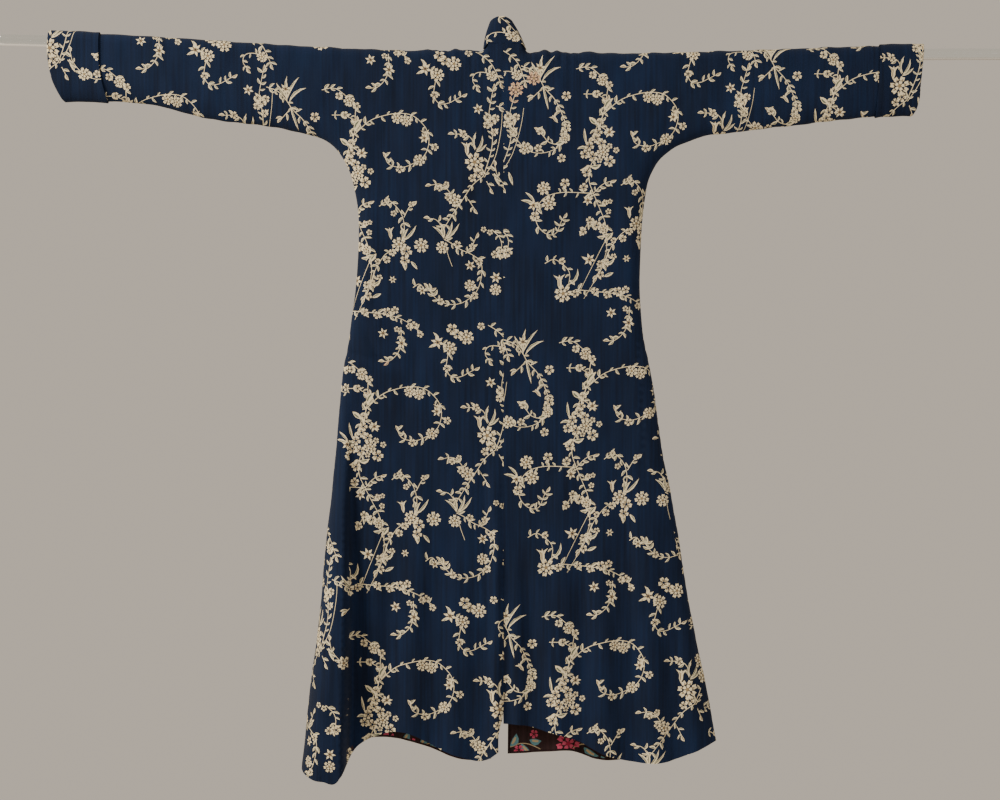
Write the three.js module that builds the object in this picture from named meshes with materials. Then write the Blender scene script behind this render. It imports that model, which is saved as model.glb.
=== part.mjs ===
// A long open-fronted robe of printed cotton, hung on a clear rod that runs through both sleeves.
// Millimetres. X runs along the rod, +Z is up, the robe's back faces -Y and its front faces +Y.
// The origin is the middle of the rod. Left and right are the viewer's, looking at the back.

import * as THREE from 'three';

// The rod: it bows under the robe's weight between level ends, and hangs a little lower at the right
const ROD_RADIUS = 12.7;
const ROD_HALF_LENGTH = 870;
const ROD_TILT = -0.0143;
const ROD_BOW = 25;
const ROD_FLAT_HALF = 120;
const ROD_BOW_END = 860;
const ROD_SIDES = 16;
const ROD_STATIONS = 18;

// The cloths
const CLOTH = 1.6;
const LINING = 1.0;
const COLLAR_CLOTH = 2.4;
const SEAM_GAP = 0.3;
const LINING_GAP = 0.5;
const ROD_CLEARANCE = 0.8;

// The body and how it hangs: both layers lie against the rod and turn over it and round the edges
const LAYER_DEPTH = ROD_RADIUS + ROD_CLEARANCE + CLOTH / 2;
const CENTRE_SEAM = 0.9;
const HEM = -1200;
const SEAM_END = -1137;
const VENT_SWING = 9;
const ARMHOLE = { left: -256, right: 250 };
const UNDERARM = -213;
const UNDERARM_REACH = 32;
const EDGE_STEPS = 120;
const NORMAL_STEP = 0.05;
const WAIST = -330;
const SKIRT = -500;
const SLEEVE_TURN = 40;
const WAIST_TURN = 28;
const HEM_TURN = 38;

// The neck, which the rod leaves folded flat and narrow
const NECK = { middle: 3, inside: 27, outside: 42, rise: 15 };
const FRONT_NECK = { inside: 12, outside: 36, fall: 45 };

// Lower edge of each sleeve and the side below it, from the cuff to past the hem
const LEFT_EDGE = [
  { x: -830, z: -69 }, { x: -680, z: -69 }, { x: -604, z: -75 }, { x: -507, z: -99 },
  { x: -406, z: -112 }, { x: -332, z: -127 }, { x: -298, z: -141 }, { x: -277, z: -163 },
  { x: -262, z: -193 }, { x: -252, z: -232 }, { x: -248, z: -300 }, { x: -250, z: -370 },
  { x: -262, z: -460 }, { x: -278, z: -563 }, { x: -287, z: -676 }, { x: -302, z: -815 },
  { x: -315, z: -952 }, { x: -327, z: -1050 }, { x: -345, z: -1210 }, { x: -351, z: -1260 },
];
const RIGHT_EDGE = [
  { x: 800, z: -93 }, { x: 650, z: -94 }, { x: 599, z: -99 }, { x: 513, z: -109 },
  { x: 394, z: -123 }, { x: 334, z: -132 }, { x: 298, z: -147 }, { x: 271, z: -168 },
  { x: 253, z: -197 }, { x: 243, z: -240 }, { x: 237, z: -310 }, { x: 234, z: -400 },
  { x: 241, z: -472 }, { x: 257, z: -555 }, { x: 271, z: -655 }, { x: 296, z: -791 },
  { x: 321, z: -940 }, { x: 339, z: -1030 }, { x: 366, z: -1168 }, { x: 378, z: -1230 },
];

// Open end of each sleeve and the inner edge of its turned-back cuff, from the top down
const CUFFS = {
  left: {
    end: [{ z: 60, x: -778 }, { z: 0, x: -778 }, { z: -40, x: -769 }, { z: -80, x: -748 }],
    inner: [{ z: 60, x: -694 }, { z: -20, x: -691 }, { z: -80, x: -676 }],
  },
  right: {
    end: [{ z: 30, x: 721 }, { z: -40, x: 714 }, { z: -80, x: 709 }, { z: -100, x: 700 }],
    inner: [{ z: 30, x: 648 }, { z: -60, x: 642 }, { z: -100, x: 639 }],
  },
};

// Height of each layer's hem across the robe
const BACK_HEM = {
  left: [
    { x: -352, z: -1206 }, { x: -339, z: -1219 }, { x: -306, z: -1230 }, { x: -279, z: -1228 },
    { x: -267, z: -1204 }, { x: -255, z: -1183 }, { x: -236, z: -1167 }, { x: -216, z: -1158 },
    { x: -167, z: -1153 }, { x: -130, z: -1170 }, { x: -103, z: -1184 }, { x: -74, z: -1195 },
    { x: -26, z: -1199 }, { x: -8, z: -1186 },
  ],
  right: [
    { x: 0, z: -1138 }, { x: 38, z: -1141 }, { x: 73, z: -1151 }, { x: 127, z: -1167 },
    { x: 172, z: -1190 }, { x: 207, z: -1200 }, { x: 246, z: -1205 }, { x: 272, z: -1204 },
    { x: 325, z: -1187 }, { x: 368, z: -1168 },
  ],
};
const FRONT_HEM = {
  left: [
    { x: -352, z: -1206 }, { x: -290, z: -1186 }, { x: -232, z: -1167 }, { x: -184, z: -1169 },
    { x: -130, z: -1182 }, { x: -89, z: -1200 }, { x: -59, z: -1205 }, { x: -21, z: -1203 },
  ],
  right: [
    { x: 8, z: -1194 }, { x: 69, z: -1192 }, { x: 115, z: -1190 }, { x: 160, z: -1204 },
    { x: 250, z: -1199 }, { x: 325, z: -1184 }, { x: 368, z: -1168 },
  ],
};

// Edges of the open front, from the neck down to the hem
const FRONT_EDGE = { left: { neck: -14, hem: -21 }, right: { neck: 20, hem: 8 } };

// Side gores, let in below the waist: how far each seam lies in from the robe's side at the hem
const GORES = {
  left: { tip: -466, back: 77, front: 66, power: 0.95 },
  right: { tip: -450, back: 12, front: 125, power: 0.9 },
};

// The left gore stands out from the back as one deep pipe fold, the right one from the front
const FLUTES = {
  back: { side: 'left', start: -440, full: -1260, height: 52, slope: 18 },
  front: { side: 'right', start: -440, full: -1260, height: 34, slope: 30 },
};

// Soft vertical folds: where each starts, its middle there and at the hem, half-width and height
const FOLDS_FULL = -1140;
const FOLDS = {
  back: [
    { start: -480, x: -232, hemX: -214, width: 16, height: 5 },
    { start: -560, x: -128, hemX: -166, width: 26, height: 11 },
    { start: -640, x: -70, hemX: -86, width: 20, height: 8 },
    { start: -600, x: -10, hemX: -14, width: 12, height: 11 },
    { start: -760, x: 22, hemX: 26, width: 13, height: 9 },
    { start: -700, x: 92, hemX: 98, width: 24, height: 10 },
    { start: -640, x: 160, hemX: 176, width: 28, height: 13 },
    { start: -560, x: 222, hemX: 262, width: 28, height: 14 },
    { start: -800, x: 300, hemX: 330, width: 22, height: 10 },
  ],
  front: [
    { start: -560, x: -212, hemX: -292, width: 26, height: 12 },
    { start: -620, x: -150, hemX: -196, width: 28, height: 13 },
    { start: -700, x: -88, hemX: -102, width: 22, height: 9 },
    { start: -820, x: -30, hemX: -36, width: 14, height: 7 },
    { start: -700, x: 52, hemX: 62, width: 22, height: 9 },
    { start: -600, x: 112, hemX: 140, width: 28, height: 13 },
    { start: -680, x: 184, hemX: 210, width: 24, height: 9 },
  ],
};

// Small puffs where the shoulder line gathers up over the rod beside the neck
const PUFFS = [
  { x: -131, width: 12, height: 3 }, { x: -80, width: 12, height: 4.5 }, { x: -56, width: 8, height: 3.5 },
  { x: 69, width: 9, height: 4 }, { x: 94, width: 10, height: 4 }, { x: 148, width: 16, height: 3 },
];

// Standing collar: a band round the neck, folded narrow at its rounded top
const COLLAR = {
  backGap: 0.45,
  frontGap: 2.2,
  baseHalf: 36,
  topMiddle: -3,
  topHalf: 18,
  topDepth: 12.5,
  top: 75,
  shoulderFall: 7,
  frontFall: 34,
  bulge: 2,
  rows: 4,
};

// Rows of every body panel: height, and the share that follows the shoulder line and the hem
const WRAP_ANGLES = [0, 30, 60, 90];
const ROWS = [
  { z: -28, shoulder: 0.6, hem: 0 }, { z: -75, shoulder: 0.2, hem: 0 }, { z: -125, shoulder: 0, hem: 0 },
  { z: -165, shoulder: 0, hem: 0 }, { z: -193, shoulder: 0, hem: 0 }, { z: UNDERARM, shoulder: 0, hem: 0 },
  { z: -245, shoulder: 0, hem: 0 }, { z: -310, shoulder: 0, hem: 0 }, { z: -380, shoulder: 0, hem: 0 },
  { z: -445, shoulder: 0, hem: 0 }, { z: -470, shoulder: 0, hem: 0 }, { z: -475, shoulder: 0, hem: 0 },
  { z: -520, shoulder: 0, hem: 0 }, { z: -600, shoulder: 0, hem: 0 }, { z: -690, shoulder: 0, hem: 0 },
  { z: -780, shoulder: 0, hem: 0 }, { z: -870, shoulder: 0, hem: 0 }, { z: -960, shoulder: 0, hem: 0 },
  { z: -1040, shoulder: 0, hem: 0.12 }, { z: -1100, shoulder: 0, hem: 0.35 },
  { z: -1139, shoulder: 0, hem: 0.6 }, { z: -1170, shoulder: 0, hem: 0.85 }, { z: HEM, shoulder: 0, hem: 1 },
];
const GORE_FIRST_ROW = -475;
const GORE_TURN_SHARE = 0.6;
const GORE_COLUMNS = [0.55, 0.85, 1];
const TURN_ANGLES = [0, 30, 60, 90];
const NECK_COLUMNS = [48, 40, 36, 31, 26];
const COLLAR_OFFSETS = { back: [0, 13, 26, 31, 36], front: [31, 26, 17] };
const EVEN_COLUMNS = { back: 8, front: 6 };
const LINING_FIRST_COLUMN = 2;
const LINING_INSET = 4;
const SLEEVE_STATIONS = [0, 0.05, 0.12, 0.22, 0.36, 0.52, 0.68, 0.82, 0.92, 1];
const SLEEVE_BETWEEN = [0.33, 0.67];
const CUFF_STATIONS = [0, 0.34, 0.67, 1];
const CUFF_OVERHANG = 2.5;
const CUFF_GAP = 0.7;

const COLOURS = { indigo: '#1c2942', lining: '#2b1a1d', acrylic: '#e6eceb' };

const radians = THREE.MathUtils.degToRad;
const mix = THREE.MathUtils.lerp;

function ease(from, to, value) {
  const t = THREE.MathUtils.clamp((value - from) / (to - from), 0, 1);
  return t * t * (3 - 2 * t);
}

// Slope of a smooth line at each row of a table, from its neighbours' slopes weighted by distance
function slopes(places, values) {
  const steps = places.slice(1).map((place, i) => (values[i + 1] - values[i]) / (place - places[i]));
  return places.map((place, i) => {
    if (i === 0) return steps[0];
    if (i === places.length - 1) return steps[i - 1];
    const before = places[i] - places[i - 1];
    const after = places[i + 1] - places[i];
    return (steps[i - 1] * after + steps[i] * before) / (before + after);
  });
}

// A smooth function through a table's rows, level beyond its two ends
function through(places, values) {
  const order = places.map((_, i) => i).sort((a, b) => places[a] - places[b]);
  const at = order.map((i) => places[i]);
  const value = order.map((i) => values[i]);
  const slope = slopes(at, value);
  return (place) => {
    const p = THREE.MathUtils.clamp(place, at[0], at[at.length - 1]);
    let i = 0;
    while (i < at.length - 2 && p > at[i + 1]) i += 1;
    const h = at[i + 1] - at[i];
    const t = (p - at[i]) / h;
    const rest = 1 - t;
    return (
      value[i] * (1 + 2 * t) * rest * rest +
      value[i + 1] * t * t * (3 - 2 * t) +
      h * slope[i] * t * rest * rest -
      h * slope[i + 1] * t * t * rest
    );
  };
}

const column = (table, name) => table.map((row) => row[name]);

// How far a quarter circle has come in from its edge at an angle, as a share of its radius
const quarterShare = (angle) => 1 - Math.cos(radians(angle));

// An edge table as a fine smooth line, with lookups by height along the side and by X along the sleeve
function edgeLine(table) {
  const along = [0];
  for (let i = 1; i < table.length; i += 1) {
    along.push(along[i - 1] + Math.hypot(table[i].x - table[i - 1].x, table[i].z - table[i - 1].z));
  }
  const x = through(along, column(table, 'x'));
  const z = through(along, column(table, 'z'));
  const points = [];
  for (let i = 0; i <= EDGE_STEPS; i += 1) {
    const s = (along[along.length - 1] * i) / EDGE_STEPS;
    points.push({ x: x(s), z: z(s) });
  }
  const side = points.filter((p) => p.z < UNDERARM + UNDERARM_REACH);
  const sleeve = points.filter((p) => p.z > UNDERARM - UNDERARM_REACH);
  return {
    points,
    xAt: through(column(side, 'z'), column(side, 'x')),
    zAt: through(column(sleeve, 'x'), column(sleeve, 'z')),
  };
}

const EDGES = { left: edgeLine(LEFT_EDGE), right: edgeLine(RIGHT_EDGE) };
const HEMS = {
  back: {
    left: through(column(BACK_HEM.left, 'x'), column(BACK_HEM.left, 'z')),
    right: through(column(BACK_HEM.right, 'x'), column(BACK_HEM.right, 'z')),
  },
  front: {
    left: through(column(FRONT_HEM.left, 'x'), column(FRONT_HEM.left, 'z')),
    right: through(column(FRONT_HEM.right, 'x'), column(FRONT_HEM.right, 'z')),
  },
};

// How far a point lies inside the robe from one edge line, negative outside
function insideEdge(line, inward, x, z) {
  let nearest = Infinity;
  let side = 1;
  for (let i = 1; i < line.length; i += 1) {
    const a = line[i - 1];
    const b = line[i];
    const dx = b.x - a.x;
    const dz = b.z - a.z;
    const t = THREE.MathUtils.clamp(((x - a.x) * dx + (z - a.z) * dz) / (dx * dx + dz * dz), 0, 1);
    const offX = x - a.x - t * dx;
    const offZ = z - a.z - t * dz;
    const distance = Math.hypot(offX, offZ);
    if (distance < nearest) {
      nearest = distance;
      side = Math.sign(dx * (z - a.z) - dz * (x - a.x)) * inward || 1;
    }
  }
  return nearest * side;
}

function rodHeight(x) {
  return ROD_TILT * x + ROD_BOW * ease(ROD_FLAT_HALF, ROD_BOW_END, Math.abs(x));
}

// Top line of the cloth, which rides over the rod and puffs up beside the neck
function topLine(x) {
  const puffs = PUFFS.reduce((sum, p) => sum + p.height * Math.exp(-(((x - p.x) / p.width) ** 2)), 0);
  return rodHeight(x) + LAYER_DEPTH + puffs;
}

const neckShare = (x) => 1 - ease(NECK.inside, NECK.outside, Math.abs(x - NECK.middle));

// Upper edge of a layer: the shoulder line, risen at the nape, and cut lower at the front of the neck
function upperEdge(layer, x) {
  const fall = layer === 'front'
    ? FRONT_NECK.fall * (1 - ease(FRONT_NECK.inside, FRONT_NECK.outside, Math.abs(x - NECK.middle)))
    : 0;
  return topLine(x) + NECK.rise * neckShare(x) - fall;
}

// How far a gore's seam lies in from the robe's side at a height
function goreInset(side, layer, z) {
  const gore = GORES[side];
  const share = THREE.MathUtils.clamp((gore.tip - z) / (gore.tip - HEM), 0, 1.1);
  return gore[layer] * share ** gore.power;
}

// Depth of a layer in front of or behind the middle plane, before it turns in at its edges
function layerDepth(layer, x, z) {
  let depth = LAYER_DEPTH;
  for (const fold of FOLDS[layer]) {
    const share = ease(fold.start, FOLDS_FULL, z);
    const middle = mix(fold.x, fold.hemX, (fold.start - z) / (fold.start - HEM));
    depth += fold.height * share * Math.exp(-(((x - middle) / fold.width) ** 2));
  }
  const flute = FLUTES[layer];
  const inset = goreInset(flute.side, layer, z);
  const inward = flute.side === 'left' ? 1 : -1;
  const seam = EDGES[flute.side].xAt(z) + inward * inset;
  const across = ease(flute.slope / 2, -flute.slope / 2, (x - seam) * inward);
  return depth + flute.height * ease(flute.start, flute.full, z) * across;
}

// 1 in the open, falling to 0 at an edge as the square of a quarter circle's height does
function turn(inside, radius) {
  const share = Math.min(inside / radius, 1);
  return 1 - (1 - share) ** 2;
}

function turnRadius(z) {
  const above = mix(SLEEVE_TURN, WAIST_TURN, ease(UNDERARM, WAIST, z));
  return mix(above, HEM_TURN, ease(SKIRT, HEM, z));
}

// The square of the share of its full depth that the cloth has at a point of the front view
function openness(x, z) {
  const wrap = mix(turn(topLine(x) - z, LAYER_DEPTH), 1, neckShare(x));
  const inside = Math.min(insideEdge(EDGES.left.points, 1, x, z), insideEdge(EDGES.right.points, -1, x, z));
  return wrap * turn(inside, turnRadius(z));
}

// Middle of the cloth at a point of the front view, never nearer the middle plane than least
function clothPoint(layer, x, z, least) {
  const depth = layerDepth(layer, x, z) * Math.sqrt(Math.max(openness(x, z), 0));
  return new THREE.Vector3(x, Math.max(depth, least) * (layer === 'back' ? -1 : 1), z);
}

// Outward direction: the gradient of (y / depth) squared less the openness
function clothNormal(layer, point) {
  const step = NORMAL_STEP;
  const level = (x, y, z) => (y / layerDepth(layer, x, z)) ** 2 - openness(x, z);
  const { x, y, z } = point;
  return new THREE.Vector3(
    level(x + step, y, z) - level(x - step, y, z),
    level(x, y + step, z) - level(x, y - step, z),
    level(x, y, z + step) - level(x, y, z - step),
  ).normalize();
}

// A cloth grid becomes one closed wall between two distances along its normals
function wall(grid, outside, inside, round = false) {
  const rows = grid.length;
  const columns = grid[0].length;
  const positions = [];
  for (const distance of [outside, inside]) {
    for (const row of grid) {
      for (const { point, normal } of row) positions.push(...point.clone().addScaledVector(normal, distance));
    }
  }
  const at = (i, j) => i * columns + (j % columns);
  const within = rows * columns;
  const faces = [];
  const spans = round ? columns : columns - 1;
  for (let i = 0; i < rows - 1; i += 1) {
    for (let j = 0; j < spans; j += 1) {
      const [a, b, c, d] = [at(i, j), at(i, j + 1), at(i + 1, j + 1), at(i + 1, j)];
      faces.push([a, b, c], [a, c, d]);
      faces.push([within + a, within + c, within + b], [within + a, within + d, within + c]);
    }
  }
  const rim = (a, b) => faces.push([b, a, within + a], [b, within + a, within + b]);
  for (let j = 0; j < spans; j += 1) {
    rim(at(0, j), at(0, j + 1));
    rim(at(rows - 1, j + 1), at(rows - 1, j));
  }
  if (!round) {
    for (let i = 0; i < rows - 1; i += 1) {
      rim(at(i + 1, 0), at(i, 0));
      rim(at(i, columns - 1), at(i + 1, columns - 1));
    }
  }
  return closedGeometry(positions, faces);
}

// Indexed geometry whose faces are turned outwards if its volume comes out negative
function closedGeometry(positions, faces) {
  const corner = (i) => new THREE.Vector3().fromArray(positions, 3 * i);
  const volume = faces.reduce((sum, [a, b, c]) => sum + corner(a).dot(corner(b).cross(corner(c))), 0);
  const turned = volume < 0 ? faces.map(([a, b, c]) => [a, c, b]) : faces;
  const geometry = new THREE.BufferGeometry();
  geometry.setAttribute('position', new THREE.Float32BufferAttribute(positions, 3));
  geometry.setIndex(turned.flat());
  geometry.computeVertexNormals();
  return geometry;
}

// Normal of a seam that lies in a plane of constant X
function inSeamPlane(normal) {
  return normal.clone().setX(0).normalize();
}

const allRows = [
  ...WRAP_ANGLES.map((angle) => ({ z: 0, wrap: LAYER_DEPTH * quarterShare(angle), shoulder: 1, hem: 0 })),
  ...ROWS,
];

// Height of a row at x: near the top it follows the upper edge, near the hem the hem
function rowHeight(row, layer, side, x) {
  if (row.wrap !== undefined) return upperEdge(layer, x) - row.wrap;
  const shoulderShift = row.shoulder * (upperEdge(layer, x) - LAYER_DEPTH);
  const hemShift = row.hem * (HEMS[layer][side](x) - HEM);
  return row.z + shoulderShift + hemShift;
}

// Where a body panel ends at the side: the armhole, the side seam, or the gore's seam
function panelSide(layer, side, row) {
  const inward = side === 'left' ? 1 : -1;
  if (row.z >= UNDERARM) return ARMHOLE[side] + (inward * SEAM_GAP) / 2;
  const edge = EDGES[side];
  const z = rowHeight(row, layer, side, edge.xAt(row.z));
  const inset = goreInset(side, layer, z);
  return edge.xAt(z) + inward * (inset > 0 ? inset + SEAM_GAP / 2 : 0);
}

// Where a panel ends at the middle: the centre back seam, the free edges below it, or the open front
function innerEdge(layer, side, z) {
  if (layer === 'front') return mix(FRONT_EDGE[side].neck, FRONT_EDGE[side].hem, z / HEM);
  if (side === 'right') return CENTRE_SEAM + SEAM_GAP / 2;
  return CENTRE_SEAM - SEAM_GAP / 2 - VENT_SWING * ease(SEAM_END + 20, SEAM_END - 20, z);
}

// Places across a panel: close together where it turns in at the side, then even, then close at the neck
function panelColumns(layer, side, row) {
  const outer = panelSide(layer, side, row);
  const inner = innerEdge(layer, side, row.z);
  const inward = Math.sign(inner - outer);
  const radius = turnRadius(row.z);
  const places = TURN_ANGLES.map((angle) => outer + inward * radius * quarterShare(angle));
  const fromMiddle = inward * (NECK.middle - innerEdge(layer, side, 0));
  const neck = NECK_COLUMNS.map((offset) => inner - inward * (offset - fromMiddle));
  const start = places[places.length - 1];
  for (let j = 1; j < EVEN_COLUMNS[layer]; j += 1) places.push(mix(start, neck[0], j / EVEN_COLUMNS[layer]));
  return [...places, ...neck, inner];
}

function bodyPanel(layer, side) {
  const grid = allRows.map((row) => {
    const armhole = row.z >= UNDERARM;
    return panelColumns(layer, side, row).map((x, j, places) => {
      const point = clothPoint(layer, x, rowHeight(row, layer, side, x), SEAM_GAP / 2);
      const normal = clothNormal(layer, point);
      const seam = (j === 0 && armhole) || (layer === 'back' && j === places.length - 1);
      return { point, normal: seam ? inSeamPlane(normal) : normal };
    });
  });
  return wall(grid, CLOTH / 2, -CLOTH / 2);
}

// Front lining: the front panel's points, moved in, and short of the seams and hem
function frontLining(side) {
  const inward = side === 'left' ? 1 : -1;
  const grid = ROWS.map((row) => {
    const places = panelColumns('front', side, row).slice(LINING_FIRST_COLUMN);
    places.push(places.pop() - inward * LINING_INSET);
    return places.map((x) => {
      const z = rowHeight(row, 'front', side, x) + row.hem * LINING_INSET;
      const point = clothPoint('front', x, z, 0);
      return { point, normal: clothNormal('front', point) };
    });
  });
  const outside = -CLOTH / 2 - LINING_GAP;
  return wall(grid, outside, outside - LINING);
}

// Gore: from its seam with the back, out round the robe's side, to its seam with the front
function sideGore(side) {
  const inward = side === 'left' ? 1 : -1;
  const rows = ROWS.filter((row) => row.z <= GORE_FIRST_ROW);
  const grid = rows.map((row) => {
    const around = (layer) => {
      const edge = EDGES[side].xAt(rowHeight(row, layer, side, EDGES[side].xAt(row.z)));
      const seam = panelSide(layer, side, row) - inward * SEAM_GAP;
      const width = Math.abs(seam - edge);
      const radius = Math.min(turnRadius(row.z), width * GORE_TURN_SHARE);
      const places = TURN_ANGLES.map((angle) => edge + inward * radius * quarterShare(angle));
      const start = places[places.length - 1];
      GORE_COLUMNS.forEach((share) => places.push(mix(start, seam, share)));
      return places.map((x) => {
        const point = clothPoint(layer, x, rowHeight(row, layer, side, x), 0);
        return { point, normal: clothNormal(layer, point) };
      });
    };
    return [...around('back').reverse(), ...around('front').slice(1)];
  });
  return wall(grid, CLOTH / 2, -CLOTH / 2);
}

// Heights round a sleeve at x, from the top down the back and up the front again
function sleeveRing(side, x) {
  const top = topLine(x);
  const bottom = EDGES[side].zAt(x);
  const wrap = WRAP_ANGLES.map((angle) => top - LAYER_DEPTH * quarterShare(angle));
  const under = [...TURN_ANGLES].reverse().map((angle) => bottom + SLEEVE_TURN * quarterShare(angle));
  const between = SLEEVE_BETWEEN.map((share) => mix(wrap[wrap.length - 1], under[0], share));
  const down = [...wrap, ...between, ...under];
  const back = down.map((z) => ({ layer: 'back', z }));
  const front = down.slice(1, -1).reverse().map((z) => ({ layer: 'front', z }));
  return [...back, ...front];
}

function cuffTables(side) {
  const { end, inner } = CUFFS[side];
  return {
    end: through(column(end, 'z'), column(end, 'x')),
    inner: through(column(inner, 'z'), column(inner, 'x')),
  };
}

// A sleeve tube or the cuff turned back over it, as rings between two edges
function sleeveTube(side, stations, from, to, flatStart, outside, inside) {
  const nominal = sleeveRing(side, CUFFS[side].end[0].x);
  const grid = stations.map((share, i) => nominal.map(({ z: height }, j) => {
    const x = mix(from(height), to(height), share);
    const { layer, z } = sleeveRing(side, x)[j];
    const point = clothPoint(layer, x, z, 0);
    const normal = clothNormal(layer, point);
    return { point, normal: flatStart && i === 0 ? inSeamPlane(normal) : normal };
  }));
  return wall(grid, outside, inside, true);
}

function sleeve(side) {
  const outward = side === 'left' ? -1 : 1;
  const seam = ARMHOLE[side] + (outward * SEAM_GAP) / 2;
  return sleeveTube(side, SLEEVE_STATIONS, () => seam, cuffTables(side).end, true, CLOTH / 2, -CLOTH / 2);
}

function cuff(side) {
  const outward = side === 'left' ? -1 : 1;
  const { end, inner } = cuffTables(side);
  const inside = CLOTH / 2 + CUFF_GAP;
  const over = (z) => end(z) + outward * CUFF_OVERHANG;
  return sleeveTube(side, CUFF_STATIONS, inner, over, false, inside + CLOTH, inside);
}

// Collar band: straight lines from the neck's edge to a narrower top curve, a little bulged
function collar() {
  const curve = (angle) => {
    const layer = Math.cos(angle) >= 0 ? 'back' : 'front';
    const x = NECK.middle + COLLAR.baseHalf * Math.sin(angle);
    const z = upperEdge(layer, x);
    const base = clothPoint(layer, x, z, SEAM_GAP / 2);
    base.z += layer === 'back' ? COLLAR.backGap : COLLAR.frontGap;
    const sideFall = COLLAR.shoulderFall * Math.sin(angle) ** 2;
    const frontFall = COLLAR.frontFall * Math.max(0, -Math.cos(angle));
    const top = new THREE.Vector3(
      COLLAR.topMiddle + COLLAR.topHalf * Math.sin(angle),
      -COLLAR.topDepth * Math.cos(angle),
      COLLAR.top - sideFall - frontFall,
    );
    return { base, top };
  };
  const place = (angle, share) => {
    const { base, top } = curve(angle);
    const bulge = COLLAR.bulge * Math.sin(Math.PI * share);
    return base.lerp(top, share).add(new THREE.Vector3(Math.sin(angle) * bulge, -Math.cos(angle) * bulge, 0));
  };
  const half = [
    ...COLLAR_OFFSETS.back.map((offset) => Math.asin(offset / COLLAR.baseHalf)),
    ...COLLAR_OFFSETS.front.map((offset) => Math.PI - Math.asin(offset / COLLAR.baseHalf)),
  ];
  const angles = [...half.slice(1).reverse().map((angle) => -angle), ...half];
  const grid = Array.from({ length: COLLAR.rows + 1 }, (_, i) => angles.map((angle) => ({
    point: place(angle, i / COLLAR.rows),
    normal: new THREE.Vector3(Math.sin(angle), -Math.cos(angle), 0),
  })));
  return wall(grid, COLLAR_CLOTH / 2, -COLLAR_CLOTH / 2);
}

// Solid rod: round sections in planes across X, closed by flat ends
function rod() {
  const positions = [];
  const faces = [];
  for (let i = 0; i <= ROD_STATIONS; i += 1) {
    const x = mix(-ROD_HALF_LENGTH, ROD_HALF_LENGTH, i / ROD_STATIONS);
    for (let j = 0; j < ROD_SIDES; j += 1) {
      const angle = (2 * Math.PI * j) / ROD_SIDES;
      positions.push(x, ROD_RADIUS * Math.cos(angle), rodHeight(x) + ROD_RADIUS * Math.sin(angle));
    }
  }
  const at = (i, j) => i * ROD_SIDES + (j % ROD_SIDES);
  for (let i = 0; i < ROD_STATIONS; i += 1) {
    for (let j = 0; j < ROD_SIDES; j += 1) {
      faces.push([at(i, j), at(i + 1, j), at(i + 1, j + 1)], [at(i, j), at(i + 1, j + 1), at(i, j + 1)]);
    }
  }
  for (let j = 1; j < ROD_SIDES - 1; j += 1) {
    faces.push([at(0, 0), at(0, j), at(0, j + 1)]);
    faces.push([at(ROD_STATIONS, 0), at(ROD_STATIONS, j + 1), at(ROD_STATIONS, j)]);
  }
  return closedGeometry(positions, faces);
}

const indigo = new THREE.MeshStandardMaterial({ color: COLOURS.indigo, roughness: 0.9, metalness: 0 });
const roseLining = new THREE.MeshStandardMaterial({ color: COLOURS.lining, roughness: 0.9, metalness: 0 });
const acrylic = new THREE.MeshStandardMaterial({ color: COLOURS.acrylic, roughness: 0.08, metalness: 0 });

const robe = new THREE.Group();

function add(name, geometry, material) {
  const mesh = new THREE.Mesh(geometry, material);
  mesh.name = name;
  robe.add(mesh);
}

add('rod', rod(), acrylic);
for (const side of ['left', 'right']) {
  add(`back_${side}`, bodyPanel('back', side), indigo);
  add(`front_${side}`, bodyPanel('front', side), indigo);
  add(`front_lining_${side}`, frontLining(side), roseLining);
  add(`gore_${side}`, sideGore(side), indigo);
  add(`sleeve_${side}`, sleeve(side), indigo);
  add(`cuff_${side}`, cuff(side), indigo);
}
add('collar', collar(), indigo);

export default robe;
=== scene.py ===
"""A long robe of printed cotton, hung on a clear rod through both sleeves and seen from the back.

Sizes are in millimetres until a mesh is made. X runs along the rod, Z is up, and the back faces -Y.
Every cloth piece is cut flat, printed, and then hung on one shape that all pieces share.
"""
import math

import bpy
import numpy as np
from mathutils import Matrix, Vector
from mathutils.geometry import delaunay_2d_cdt


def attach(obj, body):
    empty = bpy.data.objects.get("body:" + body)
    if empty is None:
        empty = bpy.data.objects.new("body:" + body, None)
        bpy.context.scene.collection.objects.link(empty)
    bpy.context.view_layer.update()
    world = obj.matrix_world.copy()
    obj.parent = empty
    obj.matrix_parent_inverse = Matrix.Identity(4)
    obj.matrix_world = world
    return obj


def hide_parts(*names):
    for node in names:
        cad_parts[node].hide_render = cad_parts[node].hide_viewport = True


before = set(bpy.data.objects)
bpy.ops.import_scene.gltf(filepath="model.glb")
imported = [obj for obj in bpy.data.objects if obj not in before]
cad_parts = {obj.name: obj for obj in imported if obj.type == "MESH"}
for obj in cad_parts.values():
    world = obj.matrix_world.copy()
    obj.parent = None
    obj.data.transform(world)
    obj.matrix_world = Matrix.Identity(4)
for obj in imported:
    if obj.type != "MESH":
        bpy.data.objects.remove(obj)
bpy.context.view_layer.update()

# The rod, and the cloth that lies round it
ROD_RADIUS = 12.7
ROD_HALF_LENGTH = 870
ROD_TILT = -0.0143
ROD_BOW = 25
ROD_FLAT_HALF = 120
ROD_BOW_END = 860
CLOTH = 1.6
SHOWN_CLOTH = 1.1
LAYER_DEPTH = ROD_RADIUS + 0.8 + CLOTH / 2
SEAM_GAP = 0.0
CENTRE_SEAM = 0.9
HEM = -1200
SEAM_END = -1137
VENT_SWING = 9
ARMHOLE = {"left": -256, "right": 250}
UNDERARM = -213
WAIST = -330
SKIRT = -500
SLEEVE_TURN = 40
WAIST_TURN = 28
HEM_TURN = 38
NECK = {"middle": 3, "inside": 27, "outside": 42, "rise": 15}
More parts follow.
